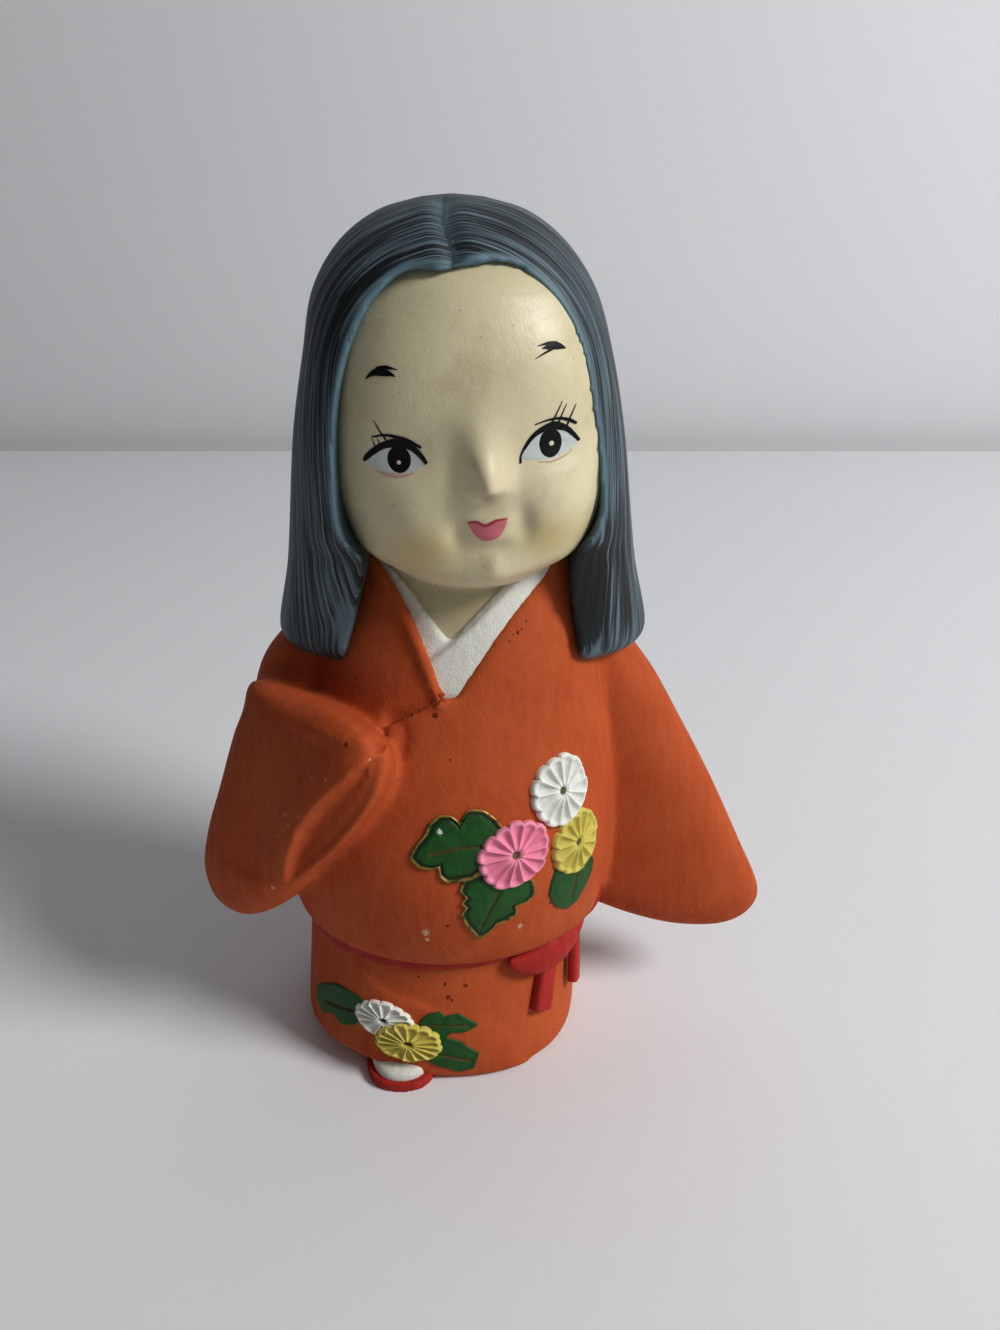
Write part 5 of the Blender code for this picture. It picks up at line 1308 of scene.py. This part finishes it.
def paintHeadMasks():
    coords = coordsOf(head)
    x, y, z = coords.T
    u, w = faceCoords(x, z)
    front = y < -8
    blush = sum(dab(u, w, *spot) for spot in skinLook["blushAt"])
    paintMask(head, "blush", blush * front)
    # darker patches under the nose tip and on its left flank: a brownish mark with painted shade
    smudgeAndShade = sum(share * dab(x, z, spot, wide, wide) for spot, wide, share in skinLook["smudgeAndShadeAt"])
    paintMask(head, "smudgeAndShade", smudgeAndShade * front)
    paintMask(head, "neckShade", ramp(104.5, 101.5, z))


skinLook = {
    "colour": (216, 206, 172), "deep": (194, 182, 146), "blush": (188, 164, 92), "smudgeAndShade": (96, 88, 76),
    # the dark colour serves soiling with painted shade in the folds, and specks
    "neck": (190, 178, 142), "dirtAndShade": (84, 72, 54), "stain": (176, 156, 118),
    "blushAt": [((-11.5, -16.2), 6.5, 4.6), ((10.0, -16.4), 5.5, 4.2)],  # on the face: spot, half width, height
    # under the nose tip and on its left flank: a brownish mark with painted shade
    "smudgeAndShadeAt": [((10.9, 121.0), 0.9, 1.0), ((8.8, 126.4), 0.5, 0.45)],  # from the front: spot, reach, share
}


def skinPaint():
    look = skinLook
    material, tree, shader, place = startPaint("creamFacePaint")
    brush = placeGroup(tree, "brush", place, Stretch=(1, 1, 0.6), Scale=420.0)
    edges = placeGroup(tree, "edges", place, Edge=0.6, Fold=0.46)
    specks = placeGroup(tree, "specks", place, Scale=620.0, Share=0.17, Size=0.16)
    grain = placeGroup(tree, "grain", place, Scale=2600.0)
    mottle = noiseNode(tree, place, 320.0, 3.0, 0.6)
    stains = smoothStep(tree, noiseNode(tree, place, 70.0, 4.0, 0.6), 0.55, 0.72)
    # the nose's darker patches: a brownish mark with painted shade
    smudgeAndShade = times(tree, readMask(tree, "smudgeAndShade"), plus(tree, 0.35, times(tree, mottle, 0.8)))
    colour = coats(tree, look, [
        (brush["Patch"], "deep", 0.35), (smoothStep(tree, mottle, 0.5, 0.72), "deep", 0.22),
        (stains, "stain", 0.35), (readMask(tree, "blush"), "blush", 0.6),
        (readMask(tree, "neckShade"), "neck", 0.8), (smudgeAndShade, "smudgeAndShade", 0.8),
        # soiling with painted shade in the folds, and dark specks
        (edges["GrimeAndShade"], "dirtAndShade", 0.35), (specks["Mask"], "dirtAndShade", 0.5)])
    rough = plus(tree, 0.27, times(tree, mottle, 0.28))
    closePaint(tree, shader, colour, rough, 0.5, grain["Height"], 0.09)
    return material


hairLook = {
    "colour": (92, 112, 120), "pale": (124, 150, 160), "stroke": (20, 23, 25), "mid": (50, 62, 68),
    "band": (98, 124, 135), "heavy": (14, 15, 16), "speck": (20, 20, 20),
    "fine": 1.35, "along": 0.022, "rough": 0.44,
}


def hairPaint():
    look = hairLook
    material, tree, shader, place = startPaint("slateHairPaint")
    strand = tree.nodes.new("ShaderNodeAttribute")
    strand.attribute_name = "strand"

    def streaks(fine, along, detail):
        stretch = (look["fine"] * fine, look["along"] * along, 1.0)
        drawn = vectorNode(tree, "MULTIPLY", strand.outputs["Vector"], stretch)
        return noiseNode(tree, drawn, 1.0, detail, 0.6)

    broad, fine, pale = streaks(0.5, 1.0, 2.0), streaks(1.9, 1.5, 2.0), streaks(1.2, 1.2, 3.0)
    grain = placeGroup(tree, "grain", place, Scale=2400.0)
    specks = placeGroup(tree, "specks", place, Scale=420.0, Share=0.04, Size=0.16)
    heavy = smoothStep(tree, plus(tree, readMask(tree, "heavyPatch"), times(tree, fine, 0.8)), 0.85, 1.0)
    bare = smoothStep(tree, less(tree, readMask(tree, "barePatch"), times(tree, pale, 0.9)), -0.1, 0.22)
    colour = coats(tree, look, [
        (smoothStep(tree, pale, 0.42, 0.62), "mid", 1), (smoothStep(tree, broad, 0.48, 0.62), "stroke", 1),
        (smoothStep(tree, fine, 0.50, 0.58), "stroke", 1), (smoothStep(tree, fine, 0.40, 0.32), "pale", 0.5),
        (heavy, "heavy", 0.94), (bare, "colour", 0.8), (readMask(tree, "parting"), "band", 0.4),
        (readMask(tree, "faceBand"), "band", 0.85), (specks["Mask"], "speck", 0.4)])
    rough = plus(tree, look["rough"], times(tree, fine, 0.14))
    height = plus(tree, times(tree, grain["Height"], 0.4), times(tree, fine, 1.2))
    closePaint(tree, shader, colour, rough, 0.4, height, 0.12)
    return material


def petalPaint(name, look):
    material, tree, shader, place = startPaint(name)
    brush = placeGroup(tree, "brush", place, Stretch=(1, 1, 1), Scale=900.0)
    grain = placeGroup(tree, "grain", place, Scale=2600.0)
    worn = plus(tree, 0.3, times(tree, brush["Patch"], 0.7))
    heart = less(tree, 1.0, smoothStep(tree, readMask(tree, "reliefShare"), 0.09, 0.14))
    # darker paint in the petal hollows: worn thin, with painted shade
    colour = coats(tree, look, [(times(tree, readMask(tree, "petalHollowWearAndShade"), worn), "hollow", 1),
                                (heart, "heart", 1)])
    rough = plus(tree, 0.5, times(tree, brush["Streak"], 0.12))
    closePaint(tree, shader, colour, rough, 0.5, grain["Height"], 0.08)
    return material


leafLook = {
    "colour": (34, 88, 34), "deep": (16, 54, 20), "gap": (22, 24, 8), "gold": (176, 142, 74),
    "rib": (98, 62, 26), "clay": (214, 212, 200), "chip": (1.8, 60.4, 0.5),
}


def leafPaint():
    look = leafLook
    material, tree, shader, place = startPaint("greenLeafPaint")
    brush = placeGroup(tree, "brush", place, Stretch=(1, 1, 0.5), Scale=700.0)
    grain = placeGroup(tree, "grain", place, Scale=2400.0)
    rib = mathNode(tree, "MULTIPLY", readMask(tree, "ribLine"), plus(tree, 0.5, brush["Patch"]), clamp=True)
    patchy = smoothStep(tree, noiseNode(tree, place, 700.0, 2.0), 0.34, 0.5)
    gilt = times(tree, readMask(tree, "giltEdge"), patchy)
    x, z, size = look["chip"]
    chip = placeGroup(tree, "mark", place, Point=(x * mm, 0, z * mm), Size=size * mm)
    colour = coats(tree, look, [
        (brush["Streak"], "deep", 0.5), (readMask(tree, "shadowLine"), "gap", 0.8), (rib, "rib", 0.7),
        (gilt, "gold", 1), (chip["Mask"], "clay", 1)])
    feed(tree, shader.inputs["Metallic"], times(tree, gilt, 0.55))
    rough = less(tree, 0.5, times(tree, gilt, 0.15))
    closePaint(tree, shader, colour, rough, 0.3, grain["Height"], 0.08)
    return material


def flatPaint(name, colour, deep, rough, gloss=0.4):  # small brushed marks
    material, tree, shader, place = startPaint(name)
    brush = placeGroup(tree, "brush", place, Stretch=(1, 1, 1), Scale=1500.0)
    grain = placeGroup(tree, "grain", place, Scale=2600.0)
    look = {"colour": colour, "deep": deep}
    closePaint(tree, shader, coats(tree, look, [(brush["Streak"], "deep", 0.6)]),
               plus(tree, rough - 0.05, times(tree, brush["Patch"], 0.1)), gloss, grain["Height"], 0.05)
    return material


orangeLook = {
    "colour": (184, 87, 46), "deep": (158, 67, 32), "light": (194, 100, 58), "rubbed": (214, 134, 98),
    # the dark colour serves soiling with painted shade in the folds, specks and pits
    "dirtAndShade": (70, 26, 14), "clay": (206, 176, 150),
    "stretch": (1.0, 1.0, 0.16), "streakScale": 640.0, "streak": 0.42, "patch": 0.42, "worn": 0.5, "grimeAndShade": 0.4,
    "edge": 0.56, "fold": 0.46, "speckScale": 360.0, "speckShare": 0.09, "speckSize": 0.2,
    "grainScale": 2300.0, "rough": 0.7, "gloss": 0.14, "grainDepth": 0.2,
    # chips to the clay and dark pits: (x, z, size) on the front
    "bare": [(-1.2, 39.4, 0.7), (-1.0, 37.6, 0.4), (16.5, 38.6, 0.5), (-9.6, 77.2, 0.2), (-30.3, 46.0, 0.4)],
    "pits": [(1.0, 80.4, 0.5), (15.9, 94.2, 0.32), (16.6, 94.7, 0.2), (14.4, 92.7, 0.22), (15.1, 93.9, 0.16),
             (17.4, 95.9, 0.2), (3.7, 72.7, 0.22), (1.8, 22.5, 0.4), (2.3, 19.6, 0.45), (-3.5, 24.2, 0.3)],
}
plainLook = {**orangeLook, "bare": [], "pits": []}
# red and white paints: their dark colours serve soiling with painted shade in the folds, and specks
redLook = {**plainLook, "colour": (172, 50, 42), "deep": (132, 26, 26), "light": (178, 54, 46),
           "rubbed": (206, 112, 98), "dirtAndShade": (70, 16, 14), "streakScale": 500.0, "rough": 0.55}
whiteLook = {**plainLook, "colour": (222, 221, 212), "deep": (196, 194, 182), "light": (230, 230, 222),
             "rubbed": (206, 188, 150), "dirtAndShade": (110, 98, 80), "streakScale": 800.0, "rough": 0.6}
petalLooks = {
    # hollow colours darken the petal hollows: worn paint with painted shade
    "white": {"colour": (230, 230, 222), "hollow": (192, 195, 186), "heart": (104, 96, 56)},
    "pink": {"colour": (236, 148, 172), "hollow": (212, 120, 146), "heart": (112, 94, 62)},
    "yellow": {"colour": (208, 194, 96), "hollow": (182, 165, 76), "heart": (100, 88, 40)},
}

paintHeadMasks()
orangePaint = clayPaint("orangeKimonoPaint", orangeLook)
redPaint = clayPaint("redSashPaint", redLook)
whitePaint = clayPaint("whiteCollarPaint", whiteLook)
inkPaint = flatPaint("blackInk", (10, 11, 14), (5, 6, 8), 0.55, 0.2)
eyePaint = flatPaint("eyeWhitePaint", (196, 202, 198), (180, 188, 186), 0.5)
# painted highlights on the irises
lightPaint = flatPaint("eyeLightPaint", (214, 206, 180), (200, 190, 160), 0.5)
rosePaint = flatPaint("roseLipPaint", (206, 118, 126), (194, 98, 110), 0.42)
crimsonPaint = flatPaint("crimsonLinePaint", (168, 54, 70), (150, 44, 60), 0.42)
blushPaint = flatPaint("pinkLidPaint", (196, 158, 148), (190, 150, 138), 0.5)
greenPaint = leafPaint()
petalPaints = {key: petalPaint(key + "PetalPaint", look) for key, look in petalLooks.items()}

for piece, finish in ((skirt, orangePaint), (kimonoTop, orangePaint), (sash, redPaint), (bow, redPaint),
                      (sole, redPaint), (sock, whitePaint), (underCollar, whitePaint), (head, skinPaint()),
                      (hair, hairPaint())):
    dress(piece, finish)
for skin, finish in zip(faceSkins.values(), (eyePaint, inkPaint, inkPaint, lightPaint, blushPaint, rosePaint,
                                             crimsonPaint)):
    dress(skin, finish)
for name, flower in flowers.items():
    dress(flower, petalPaints[name.replace("hem", "").lower()])
for leaf in leaves.values():
    dress(leaf, greenPaint)
print("all pieces painted")


# Floor, wall, lamps and camera

studio = {
    "wallY": 0.585, "gap": 0.03, "aim": (0.01, 0, 0.09), "floor": (234, 234, 235), "wall": (228, 229, 231),
    "keyAt": (0.95, -0.42, 0.87), "keySize": 0.46, "keyPower": 14.6,
    "fillAt": (0.2, -0.9, 0.7), "fillSize": 0.9, "fillPower": 0.08,
    "skyLow": 0.015, "skyHigh": 0.22, "skyTowards": (0.5, -0.25, 0.83),  # the open side of the room's light
    "camera": (0.0127, -0.184, 0.1615), "tilt": 66.0, "lens": 999 / 1330 * 36,
}


def makeSweep():
    look = studio
    edge, wall = look["wallY"], look["wallY"] + look["gap"]
    floor = [(-1.2, 0.0), (edge - 0.004, 0.0), (edge, -0.004), (edge, -0.1)]
    bm = bmesh.new()
    for profile in (floor, [(wall, -0.12), (wall, 1.4)]):
        rows = [[bm.verts.new((x, y, z)) for x in (-1.6, 1.6)] for y, z in profile]
        for lower, upper in zip(rows, rows[1:]):
            bm.faces.new((lower[0], lower[1], upper[1], upper[0]))
    sweep = newObject("floorAndWall", bm)
    material, tree, shader, place = startPaint("palePaperSweep")
    mottle = noiseNode(tree, place, 3.0, 2.0, 0.5)
    colour = mixColour(tree, mottle, srgb(look["floor"]), srgb(look["wall"]))
    closePaint(tree, shader, colour, 0.7, 0.2)
    sweep.data.materials.append(material)


def makeLamp(name, place, size, power):
    lamp = bpy.data.lights.new(name, "AREA")
    lamp.shape, lamp.size, lamp.energy = "DISK", size, power
    obj = addObject(name, lamp)
    obj.location = place
    aim = Vector(studio["aim"]) - Vector(place)
    obj.rotation_euler = aim.to_track_quat("-Z", "Y").to_euler()


makeSweep()
for lamp in ("key", "fill"):
    makeLamp(lamp + "Lamp", studio[lamp + "At"], studio[lamp + "Size"], studio[lamp + "Power"])
world = bpy.data.worlds.new("studioSky")
world.use_nodes = True
sky = world.node_tree
outward = sky.nodes.new("ShaderNodeTexCoord").outputs["Generated"]
opening = smoothStep(sky, vectorNode(sky, "DOT_PRODUCT", outward, studio["skyTowards"]), -0.3, 1.0)
feed(sky, sky.nodes["Background"].inputs["Strength"],
     mathNode(sky, "MULTIPLY_ADD", opening, studio["skyHigh"], studio["skyLow"]))
sky.nodes["Background"].inputs["Color"].default_value = (0.95, 0.97, 1.0, 1)
bpy.context.scene.world = world
bpy.context.scene.view_settings.view_transform = "Standard"
bpy.context.scene.view_settings.gamma = 0.9  # the photo's deeper darks

lens = bpy.data.cameras.new("photoCamera")
lens.sensor_fit, lens.sensor_height, lens.lens = "VERTICAL", 36, studio["lens"]
lens.clip_start, lens.clip_end = 0.005, 20
camera = addObject("photoCamera", lens)
camera.location = studio["camera"]
camera.rotation_euler = (math.radians(studio["tilt"]), 0, 0)
bpy.context.scene.camera = camera
print("stage, lamps and camera set")
